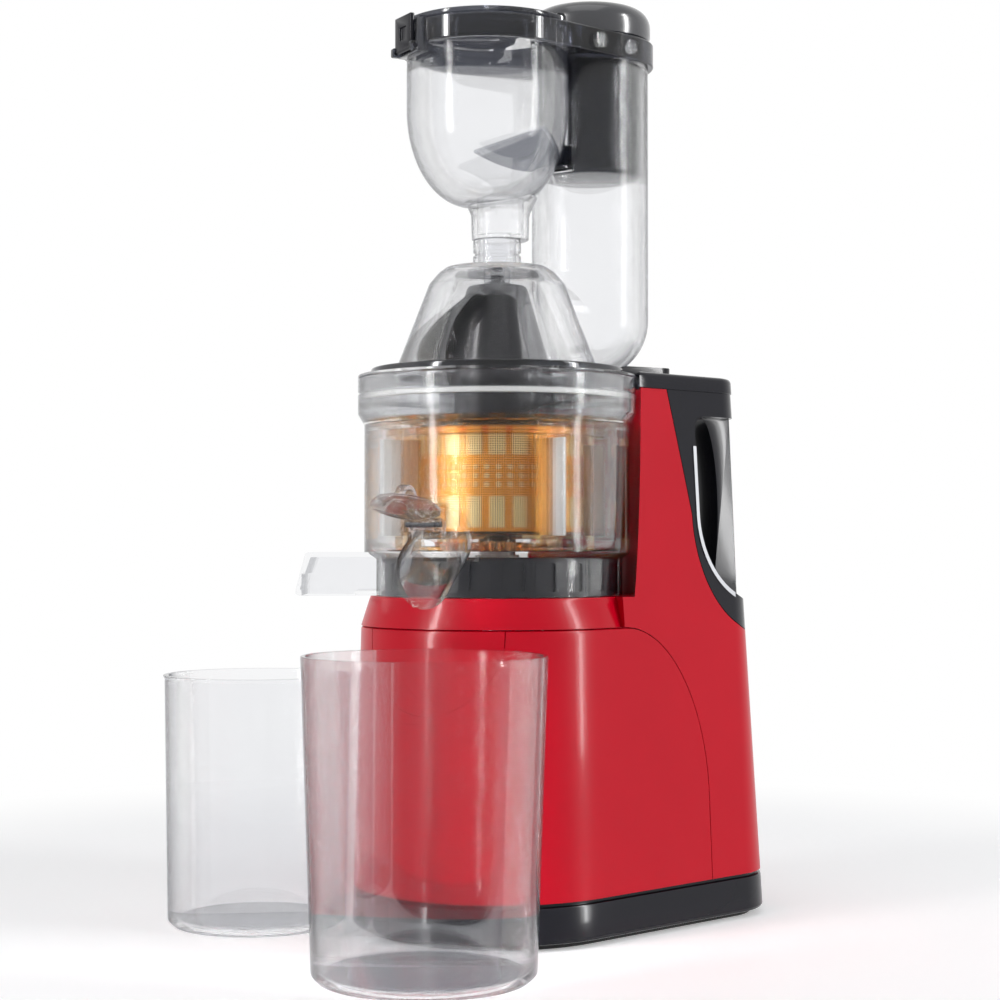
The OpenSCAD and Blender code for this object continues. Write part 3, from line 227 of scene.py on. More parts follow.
clearFinishes = {
    # name: color, colour at the edge (a painted dark reflection where the surface turns from view), roughness, alpha in
    # front and at the edge
    "clearPlastic": dict(color=(0.76, 0.77, 0.8), edge=(0.03, 0.032, 0.042), rough=0.0, alpha=(0.3, 0.97), ior=1.36),
    "smokePlastic": dict(color=(0.02, 0.023, 0.035), edge=(0.006, 0.006, 0.01), rough=0.04, alpha=(0.86, 1.0), ior=1.46),
    "amberPlastic": dict(color=(0.95, 0.47, 0.08), edge=(0.5, 0.15, 0.01), rough=0.05, alpha=(0.6, 0.98), ior=1.4),
}
stuffs = {}

bumpSet = {"Distance": 0.0002, "Strength": 0.4}
coatRough = 0.08
# rim: the facing range over which the painted dark edge reflection comes into the colour
clearSet = {"smudge": 0.05, "rim": (0.42, 0.85), "shine": 0.2, "shadow": 0.3}
weaveSet = {"color": (0.55, 0.42, 0.2), "round": 240, "up": 5200, "between": (0.2, 0.7, 0.35)}


def wornStuff(name, color, rough, smudge, grain=0.0, scale=900.0):
    # a material whose colour and roughness come through the handling group
    stuff = stuffs[name] = bpy.data.materials.new(name)
    stuff.use_nodes = True
    tree = stuff.node_tree
    wear = setInputs(tree, newNode(tree, "Group", node_tree=handling), {
        "Color": color, "Roughness": rough, "Smudge": smudge, "Grain": grain, "Grain Scale": scale})
    shader = setInputs(tree, tree.nodes["Principled BSDF"], {
        "Base Color": wear.outputs["Color"], "Roughness": wear.outputs["Roughness"]})
    return tree, shader, wear


def addFinish(name, color, rough, smudge=0.1, grain=0.0, scale=900.0, metal=0.0, coat=0.0, shine=0.5):
    tree, shader, wear = wornStuff(name, color, rough, smudge, grain, scale)
    if grain:
        bump = setInputs(tree, newNode(tree, "Bump"), {"Height": wear.outputs["Height"], **bumpSet})
        fill(tree, shader.inputs["Normal"], bump.outputs["Normal"])
    return tree, setInputs(tree, shader, {
        "Metallic": metal, "Coat Weight": coat, "Coat Roughness": coatRough, "Specular IOR Level": shine})


def addClearFinish(name, color, edge, rough, alpha, ior):
    # darker towards the edge by a painted dark reflection, denser towards the edge, and light in its shadow
    c = clearSet
    tree, shader, wear = wornStuff(name, None, rough, c["smudge"])
    facing = newNode(tree, "LayerWeight", 0.5).outputs["Facing"]
    # painted dark reflection: the edge colour is mixed in where the surface turns from view
    rim = mapNode(tree, facing, *c["rim"], kind="SMOOTHSTEP")
    fill(tree, wear.inputs["Color"], mixColor(tree, rim, color, edge))
    shadow = newNode(tree, "LightPath").outputs["Is Shadow Ray"]
    cover = mathNode(tree, "MULTIPLY", mapNode(tree, rim, 0, 1, *alpha), mapNode(tree, shadow, 0, 1, 1, c["shadow"]))
    setInputs(tree, shader, {
        "Transmission Weight": 1.0, "IOR": ior, "Specular IOR Level": c["shine"], "Alpha": cover})


def addWeave():
    # a fine woven net: bright wires between dark meshes, round the drive axis
    w = weaveSet
    tree, shader = addFinish("weave", color=w["color"], rough=0.35, smudge=0.2, metal=0.6)
    split = newNode(tree, "SeparateXYZ", newNode(tree, "TexCoord").outputs["Object"]).outputs
    turn = mathNode(tree, "ARCTAN2", split["X"], split["Y"])
    wires = ((turn, w["round"]), (split["Z"], w["up"]))
    waves = [mathNode(tree, "SINE", mathNode(tree, "MULTIPLY", source, density)) for source, density in wires]
    fill(tree, shader.inputs["Alpha"], mapNode(tree, mathNode(tree, "MAXIMUM", *waves), *w["between"]))


def camel(slotName):
    words = slotName.split("_")
    return words[0] + "".join(w.capitalize() for w in words[1:])


def dressNodes():
    for row in frame["record"]["subparts"]:
        node = nodes[row["node"]]
        stuff = stuffs[camel(row["material_slot"])]
        for slot in node.material_slots:
            slot.material = stuff
        if not node.material_slots:
            node.data.materials.append(stuff)


handling = makeHandlingGroup()
for name, values in finishes.items():
    addFinish(name, **values)
for name, values in clearFinishes.items():
    addClearFinish(name, **values)
addWeave()
dressNodes()
print("finishes:", len(stuffs))


# making pieces

closeness = 0.00001
toolTwist = 0.37  # degrees
wide = 260  # beyond every piece


def setMode(mode):
    bpy.ops.object.mode_set(mode=mode)


def pickNone():
    if bpy.context.object and bpy.context.object.mode != "OBJECT":
        setMode("OBJECT")
    bpy.ops.object.select_all(action="DESELECT")


def pickPiece(piece):
    pickNone()
    piece.select_set(True)
    bpy.context.view_layer.objects.active = piece


def editAll():
    setMode("EDIT")
    bpy.ops.mesh.select_all(action="SELECT")


def cleanMesh():
    editAll()
    bpy.ops.mesh.remove_doubles(threshold=closeness)
    bpy.ops.mesh.delete_loose()
    bpy.ops.mesh.select_all(action="SELECT")
    bpy.ops.mesh.normals_make_consistent(inside=False)
    setMode("OBJECT")


def smooth(piece, angle=32):
    pickPiece(piece)
    bpy.ops.object.shade_smooth_by_angle(angle=radians(angle))


def blend(a, b, t):
    return a + (b - a) * t


def polar(radius, angle, cx=0, cy=0):
    return cx + radius * cos(angle), cy + radius * sin(angle)


def boxLine(left, low, right, high):
    return [(left, low), (right, low), (right, high), (left, high)]


def stepOf(place, count):
    # which point of a circle of so many points this is
    return floor(atan2(place.y, place.x) / tau * count + 0.1) % count


def startCircle(name, count):
    pickNone()
    bpy.ops.mesh.primitive_circle_add(vertices=count, radius=1)
    piece = bpy.context.object
    piece.name = piece.data.name = name
    return piece


def openLoop(piece, spots):
    # takes out the edge between two spots
    for v in piece.data.vertices:
        v.select = any((v.co - spot * mm).length < 1e-6 for spot in spots)
    for e in piece.data.edges:
        e.select = all(piece.data.vertices[i].select for i in e.vertices)
    setMode("EDIT")
    bpy.ops.mesh.select_mode(type="EDGE")
    bpy.ops.mesh.delete(type="EDGE")
    bpy.ops.mesh.select_mode(type="VERT")
    setMode("OBJECT")


def capEnds(kind):
    # flat faces close the open ends
    setMode("EDIT")
    bpy.ops.mesh.select_mode(type=kind)
    bpy.ops.mesh.select_all(action="DESELECT")
    bpy.ops.mesh.select_non_manifold()
    bpy.ops.mesh.edge_face_add()
    bpy.ops.mesh.select_mode(type="VERT")
    setMode("OBJECT")


def turnedPiece(name, profile, centre=(0, 0), steps=128):
    # profile: closed line of (radius, height), outside on the right
    # tools start a little turned, so that their edges meet no others
    twist = radians(toolTwist) if name == "tool" else 0
    count = len(profile)
    onAxis = [i for i in range(count) if profile[i][0] < 0.001]
    if onAxis:
        first = next(i for i in onAxis if (i + 1) % count not in onAxis)
        profile = [profile[(first + 1 + k) % count] for k in range(count - len(onAxis))]
        if len(profile) == 2:
            profile.insert(1, [(a + b) / 2 for a, b in zip(*profile)])
    points = [Vector((*polar(r, twist, *centre), z)) for r, z in profile]
    piece = startCircle(name, len(points))
    for v in piece.data.vertices:
        v.co = points[stepOf(v.co, len(points))] * mm
    if onAxis:
        openLoop(piece, (points[0], points[-1]))
    editAll()
    bpy.ops.mesh.spin(steps=steps, angle=tau, axis=(0, 0, 1), center=(centre[0] * mm, centre[1] * mm, 0))
    if onAxis:
        bpy.ops.mesh.select_all(action="SELECT")
        bpy.ops.mesh.remove_doubles(threshold=closeness)
        setMode("OBJECT")
        capEnds("EDGE")
    setMode("OBJECT")
    cleanMesh()
    smooth(piece)
    return piece


def ringPiece(name, rings):
    # rings: the same number of places each, from the bottom up
    count = len(rings[0])
    piece = startCircle(name, count)
    editAll()
    for _ in rings[1:]:
        bpy.ops.mesh.extrude_region_move(TRANSFORM_OT_translate={"value": (0, 0, 1)})
    setMode("OBJECT")
    for v in piece.data.vertices:
        v.co = Vector(rings[round(v.co.z)][stepOf(v.co, count)]) * mm
    capEnds("VERT")
    cleanMesh()
    return piece


def prismPiece(name, outline, low=-wide, high=wide, along="x"):
    # outline of (a, b) drawn out from low to high along an axis
    spot = {
        "x": lambda a, b, c: (c, a, b),
        "y": lambda a, b, c: (a, c, b),
        "z": lambda a, b, c: (a, b, c),
    }[along]
    return ringPiece(name, [[spot(a, b, c) for a, b in outline] for c in (low, high)])


def useModifier(piece, kind, **settings):
    pickPiece(piece)
    change = piece.modifiers.new("change", kind)
    for label, setting in settings.items():
        setattr(change, label, setting)
    bpy.ops.object.modifier_apply(modifier=change.name)


def cutPiece(piece, tool, how="DIFFERENCE"):
    useModifier(piece, "BOOLEAN", operation=how, solver="EXACT", object=tool)
    bpy.data.objects.remove(tool, do_unlink=True)
    return piece


def addPiece(piece, tool):
    return cutPiece(piece, tool, "UNION")


def trimPiece(piece, tool):
    return cutPiece(piece, tool, "INTERSECT")


def placePiece(piece, turn=(0, 0, 0), move=(0, 0, 0)):
    # turns in degrees, then a move in mm, put into the mesh
    pickPiece(piece)
    piece.rotation_euler = [radians(a) for a in turn]
    piece.location = [a * mm for a in move]
    bpy.ops.object.transform_apply(location=True, rotation=True, scale=True)
    return piece


def softenPiece(piece, width, segments=2, angle=40):
    useModifier(piece, "BEVEL", width=width * mm, segments=segments, limit_method="ANGLE", angle_limit=radians(angle))
    smooth(piece)
    return piece


def roundCorners(points, radii, steps=4):
    # the same closed line with each corner turned into an arc
    out = []
    count = len(points)
    for i, p in enumerate(points):
        radius = radii[i] if isinstance(radii, list) else radii
        p = Vector(p)
        a = Vector(points[i - 1]) - p
        b = Vector(points[(i + 1) % count]) - p
        flat = radius <= 0 or min(a.length, b.length) < 1e-6
        half = 0 if flat else a.angle(b) / 2
        if flat or half > radians(88):
            out.append(tuple(p))
            continue
        reach = min(radius / tan(half), a.length * 0.49, b.length * 0.49)
        start, end = p + a.normalized() * reach, p + b.normalized() * reach
        for k in range(steps + 1):
            t = k / steps
            out.append(tuple(start * (1 - t) ** 2 + p * 2 * t * (1 - t) + end * t * t))
    return out


def rod(name, radius, low, high, centre=(0, 0), steps=160):
    return turnedPiece(name, boxLine(0, low, radius, high), centre, steps)


def layRod(name, radius, low, high, steps=24, along="x", move=(0, 0, 0)):
    return placePiece(rod(name, radius, low, high, steps=steps), (0, 90, 0) if along == "x" else (90, 0, 0), move)


def blockPiece(name, low, high, corner=0.0):
    return prismPiece(name, roundCorners(boxLine(*low[1:], *high[1:]), corner, 5), low[0], high[0])


def joinPieces(pieces):
    pickPiece(pieces[0])
    for piece in pieces:
        piece.select_set(True)
    bpy.ops.object.join()
    return pieces[0]


def rowOfTools(count, first, tool):
    # a cutting tool, copied round the drive axis
    tools = [placePiece(tool, turn=(0, 0, first))]
    for i in range(1, count):
        copied = tool.copy()
        copied.data = tool.data.copy()
        copied.data.transform(Matrix.Rotation(tau * i / count, 4, "Z"))
        bpy.context.scene.collection.objects.link(copied)
        tools.append(copied)
    return joinPieces(tools)


def finishPiece(piece, slotName, body, *replaced, angle=32):
    piece.data.materials.clear()
    piece.data.materials.append(stuffs[camel(slotName)])
    smooth(piece, angle)
    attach(piece, body)
    if replaced:
        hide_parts(*replaced)


# housings of the base

housing = {
    "footWidth": 156, "footBack": 158, "footZ": 3, "ridgeZ": 162, "ridgeIn": 4.5,
    "deckZ": 178, "deckR": 68.5, "columnTop": 299.5, "columnBack": 144, "columnWidth": 112,
    "cornerX": (16, 10), "cornerR": (36, 20), "wall": 2.6, "wellR": 78, "capZ": 290.5, "shellZ": 24,
}
outlineCounts = (34, 14, 20, 5)  # points on the front arc, flank, rear arc and rear flat


def housingAt(z):
    h = housing
    low = (z - h["footZ"]) / (h["ridgeZ"] - h["footZ"])
    high = (z - h["ridgeZ"]) / (h["columnTop"] - h["ridgeZ"])
    foot = h["footWidth"] / 2
    ridge = foot - h["ridgeIn"]
    front = blend(foot, ridge, low) if z < h["ridgeZ"] else blend(ridge, h["columnWidth"] / 2, high)
    t = (z - h["footZ"]) / (h["columnTop"] - h["footZ"])
    corner = blend(*h["cornerR"], t)
    return front, corner, blend(*h["cornerX"], t), blend(h["footBack"], h["columnBack"], t) - corner


def outlineAt(z, grow=0.0):
    front, corner, cx, cy = housingAt(z)
    lean = atan2(cy, cx) - acos((front - corner) / hypot(cx, cy))
    nFront, nFlank, nCorner, nFlat = outlineCounts
    half = []
    for i in range(nFront):
        a = blend(-pi / 2, lean, i / nFront)
        half.append(polar(front + grow, a))
    ax, ay = polar(front + grow, lean)
    bx, by = polar(corner + grow, lean, cx, cy)
    for i in range(nFlank):
        half.append((blend(ax, bx, i / nFlank), blend(ay, by, i / nFlank)))
    for i in range(nCorner):
        a = blend(lean, pi / 2, i / nCorner)
        half.append(polar(corner + grow, a, cx, cy))
    for i in range(nFlat):
        half.append((blend(cx, 0, i / nFlat), cy + corner + grow))
    half.append((0, cy + corner + grow))
    return [(x, y, z) for x, y in half] + [(-x, y, z) for x, y in reversed(half[1:-1])]


def loftPiece(name, levels):
    return ringPiece(name, [outlineAt(z, grow) for z, grow in levels])


def evenly(low, high, grow, step=8):
    count = max(1, round((high - low) / step))
    return [(blend(low, high, i / count), grow) for i in range(count + 1)]


def wholeLoft(name, low, high, grow=0.0):
    if low < housing["ridgeZ"] < high:
        return loftPiece(name, evenly(low, housing["ridgeZ"], grow) + evenly(housing["ridgeZ"], high, grow)[1:])
    return loftPiece(name, evenly(low, high, grow))


def arcLine(cx, cy, rx, ry, first, last, steps):
    turns = [radians(blend(first, last, i / steps)) for i in range(steps + 1)]
    return [(cx + rx * cos(a), cy + ry * sin(a)) for a in turns]


seams = {
    "back": 103, "mid": 70, "top": 40, "gap": 0.5,
    "coverY": 99, "coverZ": 222, "coverEnd": 155, "coverLow": 156,
    "recessY": 105, "recessZ": 222, "recessEnd": 153, "recessTop": 277, "recessLow": 174,
    "panelR": 40, "panelTurn": 30, "panelDeep": 1.2, "panelGap": 0.5,
}


def frontSide(inset):
    s, top = seams, housing["ridgeZ"] - inset
    curve = arcLine(s["top"], s["mid"], s["back"] - s["top"] - inset, top - s["mid"], 0, 90, 40)
    return [(-wide, -wide), (s["back"] - inset, -wide)] + curve + [(-wide, top)]


def backSide(inset):
    s = seams
    coverY, coverZ, coverEnd, coverLow = s["coverY"], s["coverZ"], s["coverEnd"], s["coverLow"]
    curve = arcLine(coverEnd, coverZ, coverEnd - coverY - inset, coverZ - coverLow - inset, 180, 270, 36)
    return [(wide, coverLow + inset), (wide, 2 * wide), (coverY - 24 + inset, 2 * wide),
            (coverY - 15 + inset, housing["capZ"])] + curve


def recessSide(grow):
    s = seams
    recessY, recessZ, recessEnd = s["recessY"], s["recessZ"], s["recessEnd"]
    recessTop, recessLow = s["recessTop"], s["recessLow"]
    curve = arcLine(recessEnd, recessZ, recessEnd - recessY + grow, recessZ - recessLow + grow, 180, 270, 36)
    front = recessY - grow
    corner = [(front + 8, recessTop + grow), (front + 3.2, recessTop + grow - 1.2),
              (front + 0.8, recessTop + grow - 4.5), (front, recessTop + grow - 9)]
    return [(wide, recessLow - grow), (wide, recessTop + grow)] + corner + curve


def panelTool(name, radius):
    # a half disc that points out of the front at a bearing
    line = arcLine(0, 0, radius, radius, 180, 360, 48) + [(radius, 6), (-radius, 6)]
    tool = prismPiece(name, line, housing["footWidth"] / 4, housing["footWidth"], along="y")
    return placePiece(tool, turn=(0, 0, 180 + seams["panelTurn"]), move=(0, 0, housing["ridgeZ"] - 4))


def makeFrontShell():
    h, s = housing, seams
    ridgeZ, shellZ = h["ridgeZ"], h["shellZ"]
    rim = [(ridgeZ - 1.6, 0), (ridgeZ - 0.7, -0.25), (ridgeZ - 0.2, -0.9), (ridgeZ, -1.8)]
    shell = loftPiece("frontShell", evenly(shellZ, ridgeZ - 5, 0) + rim)
    trimPiece(shell, prismPiece("tool", frontSide(s["gap"] / 2)))
    cutPiece(shell, wholeLoft("tool", shellZ - 2, ridgeZ - 0.05, -h["wall"]))
    recess = panelTool("tool", s["panelR"] + s["panelGap"])
    cutPiece(recess, wholeLoft("tool2", shellZ, ridgeZ + 20, -s["panelDeep"] - 0.2))
    cutPiece(shell, recess)
    finishPiece(shell, "red_housing", "base", "front_shell")
    panel = loftPiece("frontPanel", evenly(shellZ, ridgeZ - 5, 0) + rim)
    trimPiece(panel, panelTool("tool", s["panelR"]))
    cutPiece(panel, wholeLoft("tool", shellZ, ridgeZ + 10, -s["panelDeep"]))
    finishPiece(panel, "red_housing", "base", "front_panel")


def slopeTool(name, inset):
    # what the slope of the deck takes away in front of the column, or the wall behind it
    h, s = housing, seams
    deckZ = h["deckZ"]
    r, low = h["deckR"] - inset, h["ridgeZ"] - 2 * inset
    edge = [(r, deckZ + 3), (r, deckZ - 0.4), (r + 0.5, deckZ - 1.4)]
    slope = turnedPiece(name, edge + [(r + 5, low + 0.4), (wide, low), (wide, deckZ + 3)], steps=192)
    back = s["top"] + inset
    return cutPiece(slope, prismPiece("tool2", boxLine(back, 0, wide, wide)))


def makeRearHousing():
    h, s = housing, seams
    wall, wellR, deckZ, capZ = h["wall"], h["wellR"], h["deckZ"], h["capZ"]
    shell = wholeLoft("rearHousing", h["shellZ"], capZ)
    inner = wholeLoft("tool2", h["shellZ"] - 2, capZ + 2, -wall)
    cutPiece(inner, rod("tool", wellR + wall, deckZ - 3, capZ + 10))
    cutPiece(inner, rod("tool", 19, deckZ - 15, deckZ + 10))
    cutPiece(inner, slopeTool("tool", wall))
    cutPiece(shell, rod("tool", wellR, deckZ, capZ + 10))
    cutPiece(shell, inner)
    cutPiece(shell, prismPiece("tool", frontSide(-s["gap"] / 2)))
    cutPiece(shell, prismPiece("tool", backSide(0)))
    cutPiece(shell, slopeTool("tool", 0))
    cutPiece(shell, rod("tool", 14, deckZ - 20, deckZ + 2))
    finishPiece(shell, "red_housing", "base", "rear_housing")


def makeColumnCap():
    h = housing
    wall, wellR, capZ = h["wall"], h["wellR"], h["capZ"]
    top = h["columnTop"]
    levels = [(capZ + 0.1, 0), (capZ + 0.5, 0.6), (top - 2.4, 0.6), (top - 1.2, 0.2), (top - 0.4, -0.7), (top, -2.2)]
    cap = loftPiece("columnCap", levels)
    cutPiece(cap, rod("tool", wellR - 0.6, capZ - 5, top + 5))
    hollow = loftPiece("tool2", [(capZ - 1, -wall), (top - wall, -wall)])
    cutPiece(hollow, rod("tool", wellR + wall, capZ - 5, top + 5))
    cutPiece(cap, hollow)
    cutPiece(cap, rod("tool", 2.7, capZ - 5, top + 5, (0, 96.3), 32))
    softenPiece(cap, 0.6)
    finishPiece(cap, "black_gloss", "base", "column_cap")


def makeHandleCover():
    h, s = housing, seams
    cover = wholeLoft("handleCover", s["coverLow"] - 4, h["capZ"])
    trimPiece(cover, prismPiece("tool", backSide(s["gap"])))
    cutPiece(cover, prismPiece("tool", recessSide(0)))
    inner = wholeLoft("tool2", s["coverLow"] - 6, h["capZ"] + 2, -h["wall"])
    trimPiece(inner, prismPiece("tool", backSide(s["gap"] + h["wall"])))
    cutPiece(inner, prismPiece("tool", recessSide(h["wall"])))
    cutPiece(cover, inner)
    finishPiece(cover, "black_gloss", "base", "handle_cover")


# a silver strip round the rim of the handle recess: a painted highlight of the rim's chamfer
def makeHandleRimHighlight():
    s = seams
    line = wholeLoft("handleTrim", s["recessLow"] - 8, s["recessTop"] + 8, 0.6)
    cutPiece(line, wholeLoft("tool", s["recessLow"] - 9, s["recessTop"] + 9, 0.02))
    band = prismPiece("tool2", recessSide(2.4))
    cutPiece(band, prismPiece("tool", recessSide(0), -2 * wide, 2 * wide))
    trimPiece(line, band)
    trimPiece(line, prismPiece("tool", boxLine(-wide, 0, 132, wide)))
    finishPiece(line, "silver_trim", "base", "handle_trim")


gripSet = {"half": 16, "front": 124, "mid": 222, "reach": (12, 55, 90, -62), "foot": 128}


def makeHandleGrip():
    s, g = seams, gripSet
    end, front = s["recessLow"] - 9, g["front"]
    grip = wholeLoft("handleGrip", s["recessLow"] - 2, s["recessTop"] - 0.02, -0.3)
    inside = [(wide, s["recessTop"] + 1), (front, s["recessTop"] + 1)] + arcLine(front, g["mid"], *g["reach"], 30)
    trimPiece(grip, prismPiece("tool", inside + [(g["foot"], end), (wide, end)], -g["half"], g["half"]))
    trimPiece(grip, prismPiece("tool", recessSide(0)))
    softenPiece(grip, 4.5, segments=5, angle=50)
    finishPiece(grip, "black_gloss", "base", "handle_grip")


def makeBottomCover():
    h, wall = housing, 5.4
    footZ = h["footZ"]
    top = 22
    levels = [(footZ, -1.8), (footZ + 0.5, -0.8), (footZ + 1.8, 0), (top - 1.2, 0), (top - 0.3, -0.3), (top, -1.0),
              (top, -3.0), (top + 6, -3.2)]
    cover = loftPiece("bottomCover", levels)
    cutPiece(cover, loftPiece("tool", [(footZ + 3, -wall), (top + 9, -wall)]))
    for y in range(-24, 60, 12):  # air slots
        cutPiece(cover, prismPiece("tool", boxLine(y - 2, 0, y + 2, top), -18, 18))
    finishPiece(cover, "black_gloss", "base", "bottom_cover")


makeFrontShell()
makeRearHousing()
makeColumnCap()
makeHandleCover()
makeHandleRimHighlight()
makeHandleGrip()
makeBottomCover()
print("housings made")


# bowl, spout and chute

bowlSet = {
    "r": 72, "wall": 2.6, "baseZ": 199, "floorZ": 202, "stepZ": 270, "topZ": 295, "flangeR": 75.5, "fitR": 72.5,
    "skirtR": 68, "skirtZ": 178.3, "spoutTurn": 38, "spoutReach": 97, "spoutZ": 192, "spoutTilt": 34,
    "spoutR": 15.5, "spoutBore": 13.3, "chuteTurn": -30, "chuteWidth": 40, "chuteReach": 108, "chuteLow": 178.5,
    "earX": 97.5, "earZ": 215.7,
}


def aimPiece(piece, bearing, reach=0.0, height=0.0):
    placePiece(piece, move=(reach, 0, height))
    return placePiece(piece, turn=(0, 0, bearing - 90))


def atEar(piece):
    b = bowlSet
    return aimPiece(piece, b["spoutTurn"], b["earX"], b["earZ"])


def spoutRod(name, radius, inward, outward=20):
    b = bowlSet
    tube = rod(name, radius, -outward, inward, steps=72)
    placePiece(tube, turn=(0, b["spoutTilt"] - 90, 0))
    return aimPiece(tube, b["spoutTurn"], b["spoutReach"], b["spoutZ"])


def spoutEnd():
    b = bowlSet
    return aimPiece(blockPiece("tool2", (b["spoutReach"], -60, 120), (b["spoutReach"] + 60, 60, 260)), b["spoutTurn"])


def chuteShape(name, grow, sharp=0.0):
    b = bowlSet
    low = b["chuteLow"] + b["wall"] - grow
    end = b["chuteReach"] - b["wall"] + grow
    line = [(14, low), (end, low), (end - 6, b["baseZ"] + grow), (14, b["baseZ"] + grow)]
    side = b["chuteWidth"] / 2 + grow
    hood = prismPiece(name, roundCorners(line, [0, sharp, sharp, 0], 5), -side, side, along="y")
    return aimPiece(hood, b["chuteTurn"])


def makeBowl():
    b = bowlSet
    skirtR, flangeR, chuteTurn = b["skirtR"], b["flangeR"], b["chuteTurn"]
    baseZ, floorZ, stepZ, topZ = b["baseZ"], b["floorZ"], b["stepZ"], b["topZ"]
    t = b["wall"]
    inner = b["r"] - t
    wall = [
        (0, baseZ), (skirtR - t, baseZ), (skirtR - t, b["skirtZ"]), (skirtR, b["skirtZ"]),
        (skirtR, baseZ - 1), (b["r"], baseZ + 2), (b["r"], stepZ), (flangeR, stepZ + 6),
        (flangeR, topZ - 9), (flangeR - 0.5, topZ - 8.4), (flangeR - 0.5, topZ - 7.6),
        (flangeR, topZ - 7), (flangeR, topZ), (b["fitR"], topZ),
        (b["fitR"], stepZ), (inner, stepZ), (inner, floorZ), (0, floorZ),
    ]
    round_ = [0, 0.6, 0.8, 0.8, 1.5, 1.5, 2, 2, 0.2, 0.2, 0.2, 0.2, 0.8, 0.8, 0.3, 0.5, 5, 0]
    bowl = turnedPiece("bowl", roundCorners(wall, round_, 4), steps=160)
    spout = cutPiece(spoutRod("tool", b["spoutR"], 40), spoutEnd())
    cutPiece(spout, rod("tool2", inner + 1, floorZ - 1, 300))
    cutPiece(spout, rod("tool2", skirtR - 1, 100, floorZ))
    addPiece(bowl, spout)
    hood = chuteShape("tool", t, 2.5)
    cutPiece(hood, rod("tool2", 14, 150, 260))
    cutPiece(hood, rod("tool2", b["r"] - 0.5, floorZ - 0.5, 300))
    addPiece(bowl, hood)
    for s in (-8.25, 8.25):
        ear = blockPiece("tool", (-3, s - 1.25, -4), (3, s + 1.25, 3), 1.0)
        addPiece(bowl, atEar(ear))
        foot = blockPiece("tool", (-6, s - 1.2, -10), (-1, s + 1.2, 2))
        addPiece(bowl, atEar(foot))
    addPiece(bowl, rod("tool", 14, baseZ - 4, baseZ + 0.5))
    addPiece(bowl, aimPiece(rod("tool", 3, floorZ - 1, floorZ + 5.5, steps=32), 150, 21))
    cutPiece(bowl, rod("tool", 10, 150, 300))
    cutPiece(bowl, rod("tool", 12, baseZ - 6, baseZ + 1))
    bore = spoutRod("tool", b["spoutBore"], 44, 30)
    cutPiece(bore, rod("tool2", b["r"] - 0.4, 100, floorZ))
    cutPiece(bore, rod("tool2", b["r"] - 14, 100, 300))
    cutPiece(bowl, bore)
    duct = chuteShape("tool", 0, 1.5)
    cutPiece(duct, rod("tool2", 14.5, 150, 260))
    cutPiece(bowl, duct)
    mouth = blockPiece("tool", (skirtR + 8, -17.4, 150), (b["chuteReach"] - t - 1, 17.4, 190))
    cutPiece(bowl, aimPiece(mouth, chuteTurn))
    clean = blockPiece("tool", (36, -13.4, 150), (56, 13.4, 190))
    cutPiece(bowl, aimPiece(clean, chuteTurn))
    cutPiece(bowl, aimPiece(rod("tool", 5.4, 190, 210, steps=48), chuteTurn, 21))
    pin = layRod("tool", 1.5, -16, 16, along="y")
    cutPiece(bowl, atEar(pin))
    finishPiece(bowl, "clear_plastic", "bowl_unit", "bowl")


# cups

cups = {
    "juiceCup": dict(r=59, h=153, draft=5, bearing=45.5, reach=138, body="juice_cup_unit", node="juice_cup", lip=0.0),
    "pulpCup": dict(r=50.5, h=135, draft=2, bearing=-34, reach=131, body="pulp_cup_unit", node="pulp_cup", lip=1.0),
}
cupWall = 2.2


def makeCup(name, r, h, draft, bearing, reach, body, node, lip):
    t = cupWall
    wall = [
        (0, 1.2), (r - draft - 9, 1.2), (r - draft - 10, 0), (r - draft - 3, 0), (r - draft, 3), (r, h - 2), (r + lip, h),
        (r - t, h), (r - draft - t, 3 + t), (r - draft - t - 3, 3), (0, 3),
    ]
    line = roundCorners(wall, [0, 0.4, 0.4, 1.5, 3, 1, 0.5, 0.5, 3, 2, 0], 4)
    cup = turnedPiece(name, line, steps=160)
    aimPiece(cup, bearing, reach)
    finishPiece(cup, "clear_plastic", body, node)


# pusher and its knob

pusherSet = {"r": 28.5, "low": 409.3, "top": 484.6, "wall": 2, "y": 60, "knobR": 33.8, "knobH": 20}


def makePusher():
    p = pusherSet
    low, top, y = p["low"], p["top"], p["y"]
    t = p["wall"]
    wall = [(0, low), (p["r"], low), (p["r"], top), (p["r"] - t, top), (p["r"] - t, low + t), (0, low + t)]
    body = turnedPiece("pusher", roundCorners(wall, [0, 4, 0.5, 0.5, 3, 0], 5), (0, y), 128)
    finishPiece(body, "smoke_plastic", "pusher_unit", "pusher")
    r, h, z = p["knobR"], p["knobH"], top
    dome = [(0, z), (r - 2.5, z), (r - 0.6, z + 1.2), (r, z + 4.2), (r, z + h * 0.45)]
    dome += [(r - 10 + 10 * cos(radians(a)), z + h * 0.45 + h * 0.5 * sin(radians(a))) for a in range(12, 85, 8)]
    dome += [(r * 0.5, z + h - 0.3), (r * 0.25, z + h + 0.3), (0, z + h + 0.5)]
    knob = turnedPiece("pusherKnob", dome, (0, y), 128)
    finishPiece(knob, "knob_grey", "pusher_unit", "pusher_knob", angle=60)


for name, values in cups.items():
    makeCup(name, **values)
makePusher()
print("cups and pusher made")
makeBowl()
print("bowl made")


# lid, its dome and the feed tube

